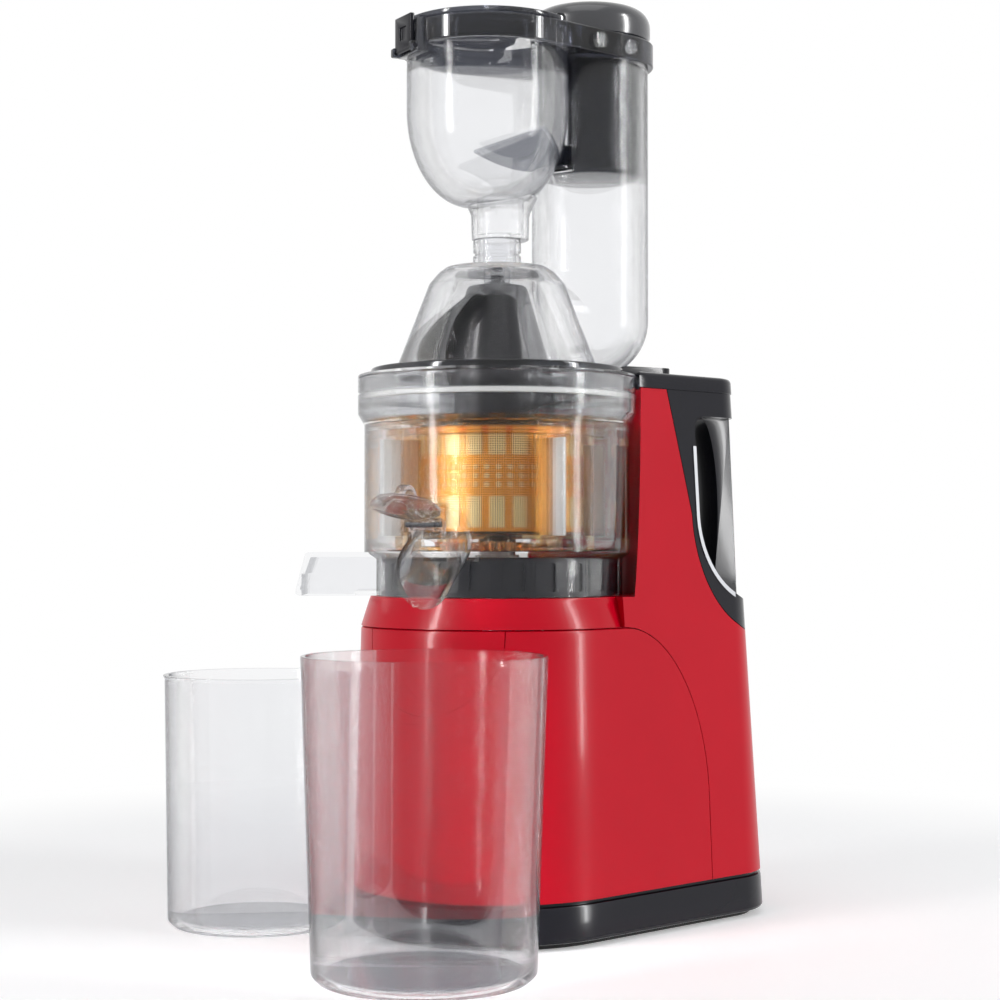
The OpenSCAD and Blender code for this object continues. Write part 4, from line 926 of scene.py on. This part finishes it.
lidSet = {
    "z": 295.3, "top": 300.3, "lip": 296.8, "plateR": 68.5, "bandR": 63, "flangeR": 75.5, "domeR": 55, "neckR": 32,
    "domeTop": 355.8, "wall": 2.6, "tubeR": 32.5, "tubeY": 60, "tubeLow": 330.3, "tubeTop": 471.3, "skirtR": 71.9,
    "skirtZ": 272.7, "sealZ": 283.3, "bridgeR": 28, "bridgeZ": 326.3, "hubZ": 347.8, "hubR": (4.3, 7),
    "window": (-23, 409.3, 23, 480), "seal": (69.7, 283.4, 72.4, 286.2), "collarR": (10.6, 13), "collarH": 15,
    "tab": (-16, 64.5, 16, 106.5), "tabThick": 4.4,
}


def tubeShape(name, radius, top):
    p = lidSet
    turns = [radians(a) for a in (2, *range(6, 91, 6))]
    low = [(0, p["tubeLow"] - radius)] + [(radius * sin(a), p["tubeLow"] - radius * cos(a)) for a in turns]
    return turnedPiece(name, low + [(radius, top), (0, top)], (0, p["tubeY"]), 128)


def bridgeShape(name, radius):
    p = lidSet
    return placePiece(rod(name, radius, 0, p["tubeY"], steps=96), turn=(-90, 0, 0), move=(0, 0, p["bridgeZ"]))


def makeLid():
    p = lidSet
    z, top, lip, domeTop, sealZ = p["z"], p["top"], p["lip"], p["domeTop"], p["sealZ"]
    neckR, bandR, domeR = p["neckR"], p["bandR"], p["domeR"]
    t = p["wall"]
    skirt = p["skirtR"]
    line = [
        (0, z), (skirt - 4.5, z), (skirt - 4.5, p["skirtZ"]), (skirt, p["skirtZ"]), (skirt, sealZ),
        (skirt - 2.4, sealZ), (skirt - 2.4, sealZ + 3), (skirt, sealZ + 3), (skirt, z), (p["flangeR"], z),
        (p["flangeR"], lip), (bandR, lip), (bandR, top), (domeR, top),
        (neckR + 5, domeTop - 9), (neckR, domeTop - 3), (neckR - 4, domeTop), (0, domeTop),
    ]
    radii = [0, 0.5, 0.8, 0.8, 0.2, 0.2, 0.2, 0.2, 0.3, 0.4, 0.4, 0.2, 0.2, 3, 6, 2, 2, 0]
    lid = turnedPiece("lid", roundCorners(line, radii, 4), steps=160)
    addPiece(lid, tubeShape("tool", p["tubeR"], p["tubeTop"]))
    addPiece(lid, bridgeShape("tool", p["bridgeR"]))
    hollow = [
        (0, z - 1), (domeR - t, z - 1), (domeR - t, top), (neckR + 5 - t, domeTop - 9 - t / 2),
        (neckR - 4 - t / 2, domeTop - t), (0, domeTop - t),
    ]
    cutPiece(lid, turnedPiece("tool", roundCorners(hollow, [0, 0, 3, 6, 2, 0], 4), steps=160))
    cutPiece(lid, tubeShape("tool", p["tubeR"] - t, p["tubeTop"] + 2))
    cutPiece(lid, bridgeShape("tool", p["bridgeR"] - t))
    hub = boxLine(p["hubR"][0], p["hubZ"], p["hubR"][1], domeTop - t + 0.5)
    addPiece(lid, turnedPiece("tool", hub, steps=48))
    window = roundCorners(boxLine(*p["window"]), [7, 7, 0, 0], 6)
    cutPiece(lid, prismPiece("tool", window, -5, 36.5, along="y"))
    finishPiece(lid, "clear_plastic", "lid_unit", "lid", "feed_tube")
    band = boxLine(bandR + 0.1, lip + 0.1, p["plateR"], top + 0.3)
    rim = turnedPiece("lidBand", roundCorners(band, [0.2, 0.2, 1.2, 0.5], 4), steps=160)
    finishPiece(rim, "smoke_plastic", "lid_unit")
    seal = turnedPiece("lidSeal", roundCorners(boxLine(*p["seal"]), 0.8, 4), steps=128)
    finishPiece(seal, "silicone", "lid_unit", "lid_seal")


def makeCollar():
    low, (inner, outer) = lidSet["domeTop"], lidSet["collarR"]
    top, neck = low + lidSet["collarH"], outer - 0.9
    line = [(inner, low), (outer, low), (outer, low + 6.3), (neck, low + 7), (neck, low + 8),
            (outer, low + 8.7), (outer, top), (inner, top)]
    collar = turnedPiece("domeCollar", roundCorners(line, [0.2, 0.2, 0.4, 0.3, 0.3, 0.4, 0.8, 0.5], 4), steps=96)
    finishPiece(collar, "clear_plastic", "lid_unit", "dome_collar")


def makeLockTab():
    p = lidSet
    line = roundCorners(boxLine(*p["tab"]), [3, 3, 9, 9], 8)
    tab = prismPiece("lockTab", line, p["top"], p["top"] + p["tabThick"], along="z")
    cutPiece(tab, tubeShape("tool", p["tubeR"] + 0.02, p["tubeTop"]))
    softenPiece(tab, 1.3, 4)
    finishPiece(tab, "black_gloss", "lid_unit", "lock_tab")


# hopper, its frame and cover

hopperSet = {
    "y": -6, "r": 44, "wall": 2.6, "low": 389.3, "rim": 480.3, "curve": 52, "plugR": 10.3, "plugZ": 356.1, "spigotR": 15.5,
    "spigotY": 2, "spigotZ": 371.1, "frameLow": 471.3, "frameTop": 484.3, "frameGrow": 3, "hingeY": 20, "hingeZ": 488.2,
    "catchY": -58, "catchZ": 466.3, "knuckleY": (41, 64), "knuckleR": 4.4,
}


def bowlCurve(radius, low, steps=28):
    p = hopperSet
    turns = [radians(90 * i / steps) for i in range(steps + 1)]
    return [(p["plugR"] + (radius - p["plugR"]) * sin(a), low + p["curve"] * (1 - cos(a))) for a in turns]


def tubeRod(name, radius):
    return rod(name, radius, 300, 600, (0, lidSet["tubeY"]))


def makeHopper():
    p = hopperSet
    r, rim, plugR, spigotR, spigotZ, spigotY = p["r"], p["rim"], p["plugR"], p["spigotR"], p["spigotZ"], p["spigotY"]
    t, y, low = p["wall"], p["y"], p["low"]
    rim = [(r, rim - 0.6), (r - 0.6, rim), (0, rim)]
    hopper = turnedPiece("hopper", [(0, low)] + bowlCurve(r, low) + rim, (0, y), 160)
    spigot = [(0, spigotZ), (spigotR, spigotZ), (spigotR + 0.4, low - 4), (spigotR + 5, low + 5), (0, low + 5)]
    addPiece(hopper, turnedPiece("tool", roundCorners(spigot, [0, 1.2, 8, 0, 0], 6), (0, spigotY), 96))
    addPiece(hopper, rod("tool", plugR, p["plugZ"], spigotZ + 2, steps=96))
    hollow = [(0, low + t)] + bowlCurve(r - t, low + t) + [(r - t, 500), (0, 500)]
    cutPiece(hopper, turnedPiece("tool", hollow, (0, y), 160))
    cutPiece(hopper, tubeRod("tool", lidSet["tubeR"] + 0.3))
    cutPiece(hopper, rod("tool", plugR - t, 340, spigotZ + t + 2, steps=96))
    cutPiece(hopper, rod("tool", spigotR - t, spigotZ + t, low + 7.8, (0, spigotY), 96))
    finishPiece(hopper, "clear_plastic", "hopper_unit", "hopper")


def makeBaffle():
    p = hopperSet
    t, low = p["wall"], p["low"]
    plate = blockPiece("hopperBaffle", (-44, 0, 0), (44, 30, 2), 0.5)
    placePiece(plate, turn=(-32, 0, 0), move=(0, 6, low + 37))
    inside = [(0, low + t)] + bowlCurve(p["r"] - t - 0.3, low + t) + [(0, p["frameLow"])]
    trimPiece(plate, turnedPiece("tool", inside, (0, p["y"]), 128))
    cutPiece(plate, tubeRod("tool", lidSet["tubeR"] + 0.6))
    finishPiece(plate, "grey_plastic", "hopper_unit", "hopper_baffle")


def frameOutline(grow, steps=48):
    p = hopperSet
    big, small = p["r"] + grow, lidSet["tubeR"] + grow
    lean = asin((big - small) / (lidSet["tubeY"] - p["y"]))
    half = [polar(big, blend(-pi / 2, lean, i / steps), 0, p["y"]) for i in range(steps + 1)]
    half += [polar(small, blend(lean, pi / 2, i / 24), 0, lidSet["tubeY"]) for i in range(1, 25)]
    return half + [(-x, y) for x, y in reversed(half[1:-1])]


def frameRing(name, grow, inset):
    # the outline drawn up, with rounded top and bottom edges
    p = hopperSet
    low, high = p["frameLow"], p["frameTop"]
    levels = [(low, grow - inset), (low + inset * 0.4, grow - inset * 0.4), (low + inset, grow), (high - inset, grow),
              (high - inset * 0.4, grow - inset * 0.4), (high, grow - inset)]
    return ringPiece(name, [[(x, y, z) for x, y in frameOutline(g)] for z, g in levels])


def makeHopperFrame():
    p = hopperSet
    r, frameTop, hingeY, hingeZ = p["r"], p["frameTop"], p["hingeY"], p["hingeZ"]
    band = frameRing("hopperFrame", p["frameGrow"], 0.8)
    cutPiece(band, rod("tool", r + 0.05, 400, p["rim"], (0, p["y"])))
    cutPiece(band, rod("tool", r - 3, 400, 600, (0, p["y"])))
    cutPiece(band, rod("tool", lidSet["tubeR"] - 2.6, 400, 600, (0, lidSet["tubeY"])))
    cutPiece(band, rod("tool", lidSet["tubeR"] + 0.3, 400, lidSet["tubeTop"] + 0.3, (0, lidSet["tubeY"])))
    y, z = p["catchY"], p["catchZ"]
    pad = softenPiece(blockPiece("tool", (-12, y + 2.65, z), (12, y + 9.65, frameTop), 1.5), 0.5)
    addPiece(band, pad)
    addPiece(band, softenPiece(blockPiece("tool", (-12, y - 1, z), (12, y + 3.6, z + 5), 1.2), 0.5))
    for x in (-32, 32):
        ear = blockPiece("tool", (x - 2, hingeY - 3, frameTop - 1), (x + 2, hingeY + 3, hingeZ + 2.5), 2.2)
        addPiece(band, ear)
    cutPiece(band, blockPiece("tool", (-9.3, y - 2, z - 1), (9.3, y + 2.65, 520)))
    for height, depth, radius in ((hingeZ, hingeY, 1.2), (z + 2.5, y + 1.3, 1.35)):
        cutPiece(band, layRod("tool", radius, -60, 60, move=(0, depth, height)))
    finishPiece(band, "smoke_plastic", "hopper_unit", "hopper_frame")


def makeKnuckles():
    p = hopperSet
    ring = frameRing("frameKnuckles", p["frameGrow"] + 3, 0.1)
    cutPiece(ring, frameRing("tool", p["frameGrow"], 0.0))
    spots = None
    for side in (-1, 1):
        for y in p["knuckleY"]:
            knob = rod("tool2", p["knuckleR"], 0, 60, steps=40)
            placePiece(knob, turn=(0, 90 * side, 0), move=(0, y, p["frameLow"] + 6))
            cutPiece(knob, blockPiece("tool", (-18, 0, 400), (18, 120, 600)))
            spots = knob if spots is None else addPiece(spots, knob)
    trimPiece(ring, spots)
    softenPiece(ring, 0.8, 3)
    finishPiece(ring, "clear_plastic", "hopper_unit", "frame_knuckles")


coverSet = {
    "span": (-207.9, 27.9), "thick": 2.4, "lift": 0.3, "rollR": 3.6, "bore": 1.25, "pinR": 1.2, "arms": (-24, 24),
}


def makeCover():
    p, c = hopperSet, coverSet
    r = p["r"] + p["frameGrow"]
    low = p["frameTop"] + c["lift"]
    top, y = low + c["thick"], p["hingeY"]
    line = [polar(r, radians(blend(*c["span"], i / 90)), 0, p["y"]) for i in range(91)]
    cover = prismPiece("hopperCover", line, low, top, along="z")
    softenPiece(cover, 0.7, 3)
    for x in c["arms"]:
        addPiece(cover, blockPiece("tool", (x - 4, y - 7, low), (x + 4, y, top)))
        addPiece(cover, layRod("tool", c["rollR"], 0, 8, 40, move=(x - 4, y, p["hingeZ"])))
    cutPiece(cover, layRod("tool", c["bore"], -60, 60, move=(0, y, p["hingeZ"])))
    finishPiece(cover, "smoke_plastic", "cover", "hopper_cover")
    pin = layRod("coverPin", c["pinR"], -34, 34, move=(0, y, p["hingeZ"]))
    finishPiece(pin, "steel", "hopper_unit", "cover_pin")


def makeCatch():
    p = hopperSet
    y, z = p["catchY"], p["catchZ"] + 2.5
    catch = blockPiece("coverCatch", (-9, y, z), (9, y + 2.6, p["frameTop"] + 2.4))
    cutPiece(catch, blockPiece("tool", (-3.5, y - 1, z + 5), (3.5, y + 1.2, z + 12)))
    softenPiece(catch, 0.5, 3)
    addPiece(catch, layRod("tool", 1.3, -12, 12, 32, move=(0, y + 1.3, z)))
    finishPiece(catch, "black_gloss", "catch", "cover_catch")


# strainer, wiper cage and auger

basket = {
    "r": 47.5, "wall": 1.4, "low": 208.5, "rimZ": 270.05, "rimTop": 272.4, "rimR": 72.2, "hubR": 13.65, "columns": 24,
    "cageIn": 49, "cageOut": 60.4, "cageZ": 202.3, "cageTop": 267, "cageRing": 34, "cageTeeth": 40, "augerTeeth": 16,
    "gearWidth": 4.6, "module": 1.5, "windows": ((4.6, 252.5, 267.5), (4.2, 214.5, 231)), "holeR": 1.6,
    "holes": (237, 241.6, 246.2), "holeCount": 48, "slots": 18, "drain": (5.4, 6.6), "net": (212.5, 268),
    "bladeR": (47.9, 69), "bladeTop": 261, "arms": 4,
}
gearSet = {"pressure": 25, "top": 0.9, "root": 1.2, "play": 0.12}


def involute(angle):
    return degrees(tan(radians(angle))) - angle


def gearOutline(teeth, module, top, root, thick, turn):
    g = gearSet
    pitch = teeth * module / 2
    base = pitch * cos(radians(g["pressure"]))
    flank = []
    for i in range(5):
        rho = blend(max(base, pitch - g["root"] * module), pitch + top * module, i / 4)
        lean = degrees(acos(min(1, base / rho)))
        flank.append((rho, 90 / teeth + degrees(thick / (teeth * module)) + involute(g["pressure"]) - involute(lean)))
    low = pitch - root * module
    line = []
    for k in range(teeth):
        mid = 360 * k / teeth + turn
        line.append((low, mid - flank[0][1]))
        line += [(rho, mid - half) for rho, half in flank]
        line += [(rho, mid + half) for rho, half in reversed(flank)]
        line.append((low, mid + flank[0][1]))
    return [polar(rho, radians(a)) for rho, a in line]


def makeStrainer():
    p = basket
    low, hubR, rimZ, rimTop, rimR = p["low"], p["hubR"], p["rimZ"], p["rimTop"], p["rimR"]
    r, t = p["r"], p["wall"]
    line = [(hubR, low), (r, low), (r, rimZ), (rimR, rimZ), (rimR, rimTop),
            (r - t, rimTop), (r - t, low + 2), (hubR, low + 2)]
    holder = turnedPiece("strainerFrame", roundCorners(line, [0.3, 1.5, 0.6, 0.4, 0.6, 0.5, 1, 0.3], 4), steps=144)
    for half, bottom, top in p["windows"]:
        window = blockPiece("tool", (r - 4, -half, bottom), (r + 4, half, top), 0.8)
        cutPiece(holder, rowOfTools(p["columns"], 0, window))
    holes = [layRod("tool", p["holeR"], r - 4, r + 4, 14, move=(0, 0, z)) for z in p["holes"]]
    cutPiece(holder, rowOfTools(p["holeCount"], 0.9, joinPieces(holes)))
    cutPiece(holder, rowOfTools(p["slots"], 10, blockPiece("tool", (58.5, -4, rimZ - 1), (66.5, 4, rimTop + 1))))
    bore, drainR = p["drain"]
    drain = boxLine(bore, p["cageZ"], drainR, 209.5)
    cutPiece(holder, aimPiece(rod("tool", bore, 200, 215, steps=48), -30, 21))
    addPiece(holder, aimPiece(turnedPiece("tool", drain, steps=48), -30, 21))
    finishPiece(holder, "amber_plastic", "bowl_unit", "strainer_frame")
    netLow, netTop = p["net"]
    mesh = turnedPiece("strainerMesh", boxLine(r - t - 0.5, netLow, r - t - 0.05, netTop))
    finishPiece(mesh, "steel", "bowl_unit", "strainer_mesh")
    mesh.data.materials[0] = stuffs["weave"]


def makeWiperCage():
    p = basket
    low = p["cageZ"]
    cage = rod("wiperCage", p["cageRing"], low, low + p["gearWidth"], steps=96)
    g = gearSet
    hole = gearOutline(p["cageTeeth"], p["module"], g["root"], g["top"], g["play"] / 2, 64.5)
    cutPiece(cage, prismPiece("tool", hole, low - 1, low + 6, along="z"))
    ring = boxLine(p["cageIn"], p["cageTop"] - 4, p["cageOut"], p["cageTop"])
    addPiece(cage, turnedPiece("tool", roundCorners(ring, 0.8, 4), steps=128))
    count, (bladeIn, bladeOut), bladeTop = p["arms"], p["bladeR"], p["bladeTop"]
    spoke = blockPiece("tool", (33, -5, low), (59.4, 5, low + 2.4), 0.6)
    addPiece(cage, rowOfTools(count, 0, spoke))
    post = blockPiece("tool", (49.03, -4.97, low + 0.5), (59.37, 4.97, p["cageTop"] - 1.1))
    addPiece(cage, rowOfTools(count, 0, post))
    slot = blockPiece("tool", (bladeIn - 0.1, -1.03, low + 7.9), (bladeOut, 1.03, bladeTop + 0.1))
    cutPiece(cage, rowOfTools(count, 0, slot))
    finishPiece(cage, "amber_plastic", "wipers", "wiper_cage")
    blade = softenPiece(blockPiece("wiperBlades", (bladeIn, -1, low + 8), (bladeOut, 1, bladeTop)), 0.4)
    finishPiece(rowOfTools(count, 0, blade), "silicone", "wipers", "wiper_blades")


augerSet = {
    "low": 211.1, "flightR": 44.5, "coreLow": 34, "coreLid": 31, "coreTop": 16, "lidZ": 295.3, "topZ": 346, "tipR": 4,
    "tipZ": 352, "thick": 4, "hexR": 7.23, "hexTop": 241, "gearHubR": 10.2,
    "lowFlight": (150, 2, 180), "topFlight": (205, 0.3, 48),  # first angle, turns, steps
}


def coreAt(z):
    p = augerSet
    if z < p["lidZ"]:
        return blend(p["coreLow"], p["coreLid"], (z - p["low"]) / (p["lidZ"] - p["low"]))
    return blend(p["coreLid"], p["coreTop"], (z - p["lidZ"]) / (p["topZ"] - p["lidZ"]))


def flightAt(z):
    dome = blend(55, 32, (z + augerSet["thick"] - 297.8) / 58) - 2.6
    return min(augerSet["flightR"], dome - 3)


def flightPiece(name, low, high, first, turns, steps):
    rings = []
    for i in range(steps + 1):
        z = blend(low, high, i / steps)
        a = radians(first + 360 * turns * i / steps)
        end = min(i, steps - i) / steps
        inner = coreAt(z) - 3
        outer = inner + (flightAt(z) - inner) * min(1, 0.25 + end * 14)
        edge = [(outer - 2, 0.5), (outer - 0.4, 1.0), (outer, 2), (outer - 0.4, 3), (outer - 2, 3.5)]
        section = [(inner, 0)] + edge + [(inner, augerSet["thick"])]
        rings.append([(*polar(r, a), z + h) for r, h in section])
    return ringPiece(name, rings)


def makeAuger():
    p = augerSet
    low, flightR, lidZ, topZ, tipR, tipZ = p["low"], p["flightR"], p["lidZ"], p["topZ"], p["tipR"], p["tipZ"]
    line = [(0, low), (flightR, low), (flightR, low + 1), (coreAt(low + 4), low + 4),
            (p["coreLid"], lidZ), (p["coreTop"], topZ), (tipR, topZ), (tipR, tipZ), (0, tipZ)]
    core = turnedPiece("auger", roundCorners(line, [0, 0.5, 0.5, 3, 12, 3, 1, 1.5, 0], 6), steps=144)
    addPiece(core, flightPiece("tool", low + 3, lidZ - 2, *p["lowFlight"]))
    addPiece(core, flightPiece("tool", lidZ - 2, topZ - 6, *p["topFlight"]))
    addPiece(core, rod("tool", p["gearHubR"], 203.3, low + 4, steps=64))
    b, g = basket, gearSet
    gear = gearOutline(b["augerTeeth"], b["module"], g["top"], g["root"], -g["play"] / 2, 60)
    addPiece(core, prismPiece("tool", gear, b["cageZ"], b["cageZ"] + b["gearWidth"], along="z"))
    hexLine = [polar(p["hexR"], radians(60 * i)) for i in range(6)]
    cutPiece(core, prismPiece("tool", hexLine, 200, p["hexTop"], along="z"))
    finishPiece(core, "auger_black", "auger_unit", "auger", angle=40)


# small pieces of the bowl and the base

capSet = {"r": 17.5, "thick": 1.4, "rollR": 3, "bore": 1.55, "pinR": 1.5, "loop": (7.6, 10), "closed": -108}


def makeJuiceCap():
    b, c = bowlSet, capSet
    r, thick = c["r"], c["thick"]
    drop = b["earZ"] - b["spoutZ"]
    disc = [(0, 0), (r, 0), (r, thick), (r - 0.8, 2.4), (r - 2.3, 2.4), (r - 3.1, 1.9), (0, 1.5)]
    cap = turnedPiece("juiceCap", roundCorners(disc, [0, 0.5, 0.3, 0.3, 0.3, 0.3, 0], 3), steps=72)
    placePiece(cap, turn=(0, 90, 0), move=(0, 0, -drop))
    addPiece(cap, blockPiece("tool", (0, -6, 10 - drop), (2.4, 6, 0.8), 0.3))
    addPiece(cap, layRod("tool", c["rollR"], -6.7, 6.7, 40, "y"))
    loopIn, loopOut = c["loop"]
    arch = boxLine(loopIn, -2.5, loopOut, 2.5)
    loop = turnedPiece("tool", roundCorners(arch, 0.7, 3), steps=64)
    placePiece(loop, turn=(90, 0, 0), move=(2.0, 0, -drop))
    cutPiece(loop, blockPiece("tool2", (-20, -10, -drop - 20), (1.0, 10, 20 - drop)))
    addPiece(cap, loop)
    cutPiece(cap, layRod("tool", c["bore"], -20, 20, along="y"))
    placePiece(cap, turn=(0, c["closed"], 0))
    finishPiece(atEar(cap), "clear_plastic", "spout_cap", "juice_cap")
    pin = layRod("capPin", c["pinR"], -9.5, 9.5, along="y")
    finishPiece(atEar(pin), "black_plastic", "bowl_unit", "cap_pin")


def makeBowlRing():
    b = bowlSet
    low, high = b["skirtZ"], b["baseZ"]
    line = boxLine(60.4, low, 65.4, high)
    ring = turnedPiece("bowlRing", roundCorners(line, 0.6, 3), steps=144)
    cutPiece(ring, rowOfTools(24, 7.5, blockPiece("tool", (64, -5.5, low + 3), (70, 5.5, high - 3), 1.5)))
    addPiece(ring, rowOfTools(24, 0, blockPiece("tool", (56.4, -1, low), (61.5, 1, high - 4))))
    cutPiece(ring, aimPiece(blockPiece("tool", (0, -22.9, 100), (120, 22.9, 260)), b["chuteTurn"]))
    cutPiece(ring, aimPiece(blockPiece("tool", (0, -15.5, high - 2), (120, 15.5, high + 4)), b["spoutTurn"]))
    finishPiece(ring, "dark_plastic", "bowl_unit", "bowl_ring")


def rearPlace(piece, height):
    # the tilted rear wall: the piece's own z points out of it
    h = housing
    tilt = degrees(atan((h["columnBack"] - h["footBack"]) / (h["columnTop"] - h["footZ"])))
    back = blend(h["footBack"], h["columnBack"], (height - h["footZ"]) / (h["columnTop"] - h["footZ"]))
    return placePiece(piece, turn=(-90 - tilt, 0, 0), move=(0, back, height))


def plateOf(name, width, length, low, high, corner):
    line = boxLine(-width / 2, -length / 2, width / 2, length / 2)
    return prismPiece(name, roundCorners(line, corner, 5), low, high, along="z")


def footAt(z, grow):
    return [(x, y, z) for x, y, _ in outlineAt(housing["footZ"], grow)]


rearSet = {
    "switchZ": 96, "cordZ": 44, "bezel": (24, 30), "rockerR": 10.7, "rocker": (15.4, 21.4), "pinY": 96.3, "pinR": 2.6,
}


def makeRearParts():
    k = rearSet
    pinR = k["pinR"]
    bezel = softenPiece(plateOf("switchBezel", *k["bezel"], 0, 1.6, 2.5), 0.5)
    addPiece(bezel, plateOf("tool", 19.9, 25.9, -12.5, 0.5, 1))
    cutPiece(bezel, plateOf("tool", 16, 22, -14, 6, 1))
    finishPiece(rearPlace(bezel, k["switchZ"]), "black_plastic", "base", "switch_bezel")
    rocker = layRod("switchRocker", k["rockerR"], -7.7, 7.7, 64, move=(0, 0, -7))
    trimPiece(rocker, plateOf("tool", *k["rocker"], -4.5, 2.5, 0.3))
    softenPiece(rocker, 0.4)
    finishPiece(rearPlace(rocker, k["switchZ"]), "switch_red", "rocker", "switch_rocker")
    line = [(3.6, -8), (7, -8), (7, 0), (9.5, 0), (9.5, 2.4), (6.4, 2.4), (5.2, 16), (3.6, 16)]
    gland = turnedPiece("cordGland", roundCorners(line, [0.2, 0.4, 0, 0.4, 0.8, 0.5, 1, 0.4], 3), steps=64)
    for z in (4.5, 7.5, 10.5):
        cutPiece(gland, turnedPiece("tool", boxLine(5.1, z, 9, z + 1.2), steps=48))
    finishPiece(rearPlace(gland, k["cordZ"]), "rubber_black", "base", "cord_gland")
    line = [(0, 284.5), (pinR, 284.5), (pinR, 289), (4.1, 289), (4.1, 290.5), (pinR, 290.5), (pinR, 300), (0, 300)]
    pin = turnedPiece("safetyPin", roundCorners(line, [0, 0.3, 0, 0.2, 0.2, 0, 0.8, 0], 3), (0, k["pinY"]), 32)
    finishPiece(pin, "silver_trim", "plunger", "safety_pin")
    foot = ringPiece("footRing", [footAt(0, -7.6), footAt(0.6, -7), footAt(4, -7)])
    cutPiece(foot, ringPiece("tool", [footAt(-3, -14), footAt(9, -14)]))
    finishPiece(foot, "rubber_black", "base", "foot_ring")


makeLid()
makeCollar()
makeLockTab()
print("lid made")
makeHopper()
makeBaffle()
makeHopperFrame()
makeKnuckles()
makeCover()
makeCatch()
print("hopper made")
makeStrainer()
makeWiperCage()
makeAuger()
print("strainer and auger made")
makeJuiceCap()
makeBowlRing()
makeRearParts()
print("small parts made")


bpy.context.scene.view_settings.view_transform = "Standard"
addCamera()
makeWorld()
makeFloor()
for name, values in lamps.items():
    addLamp(name, **values)
print("light and camera set")
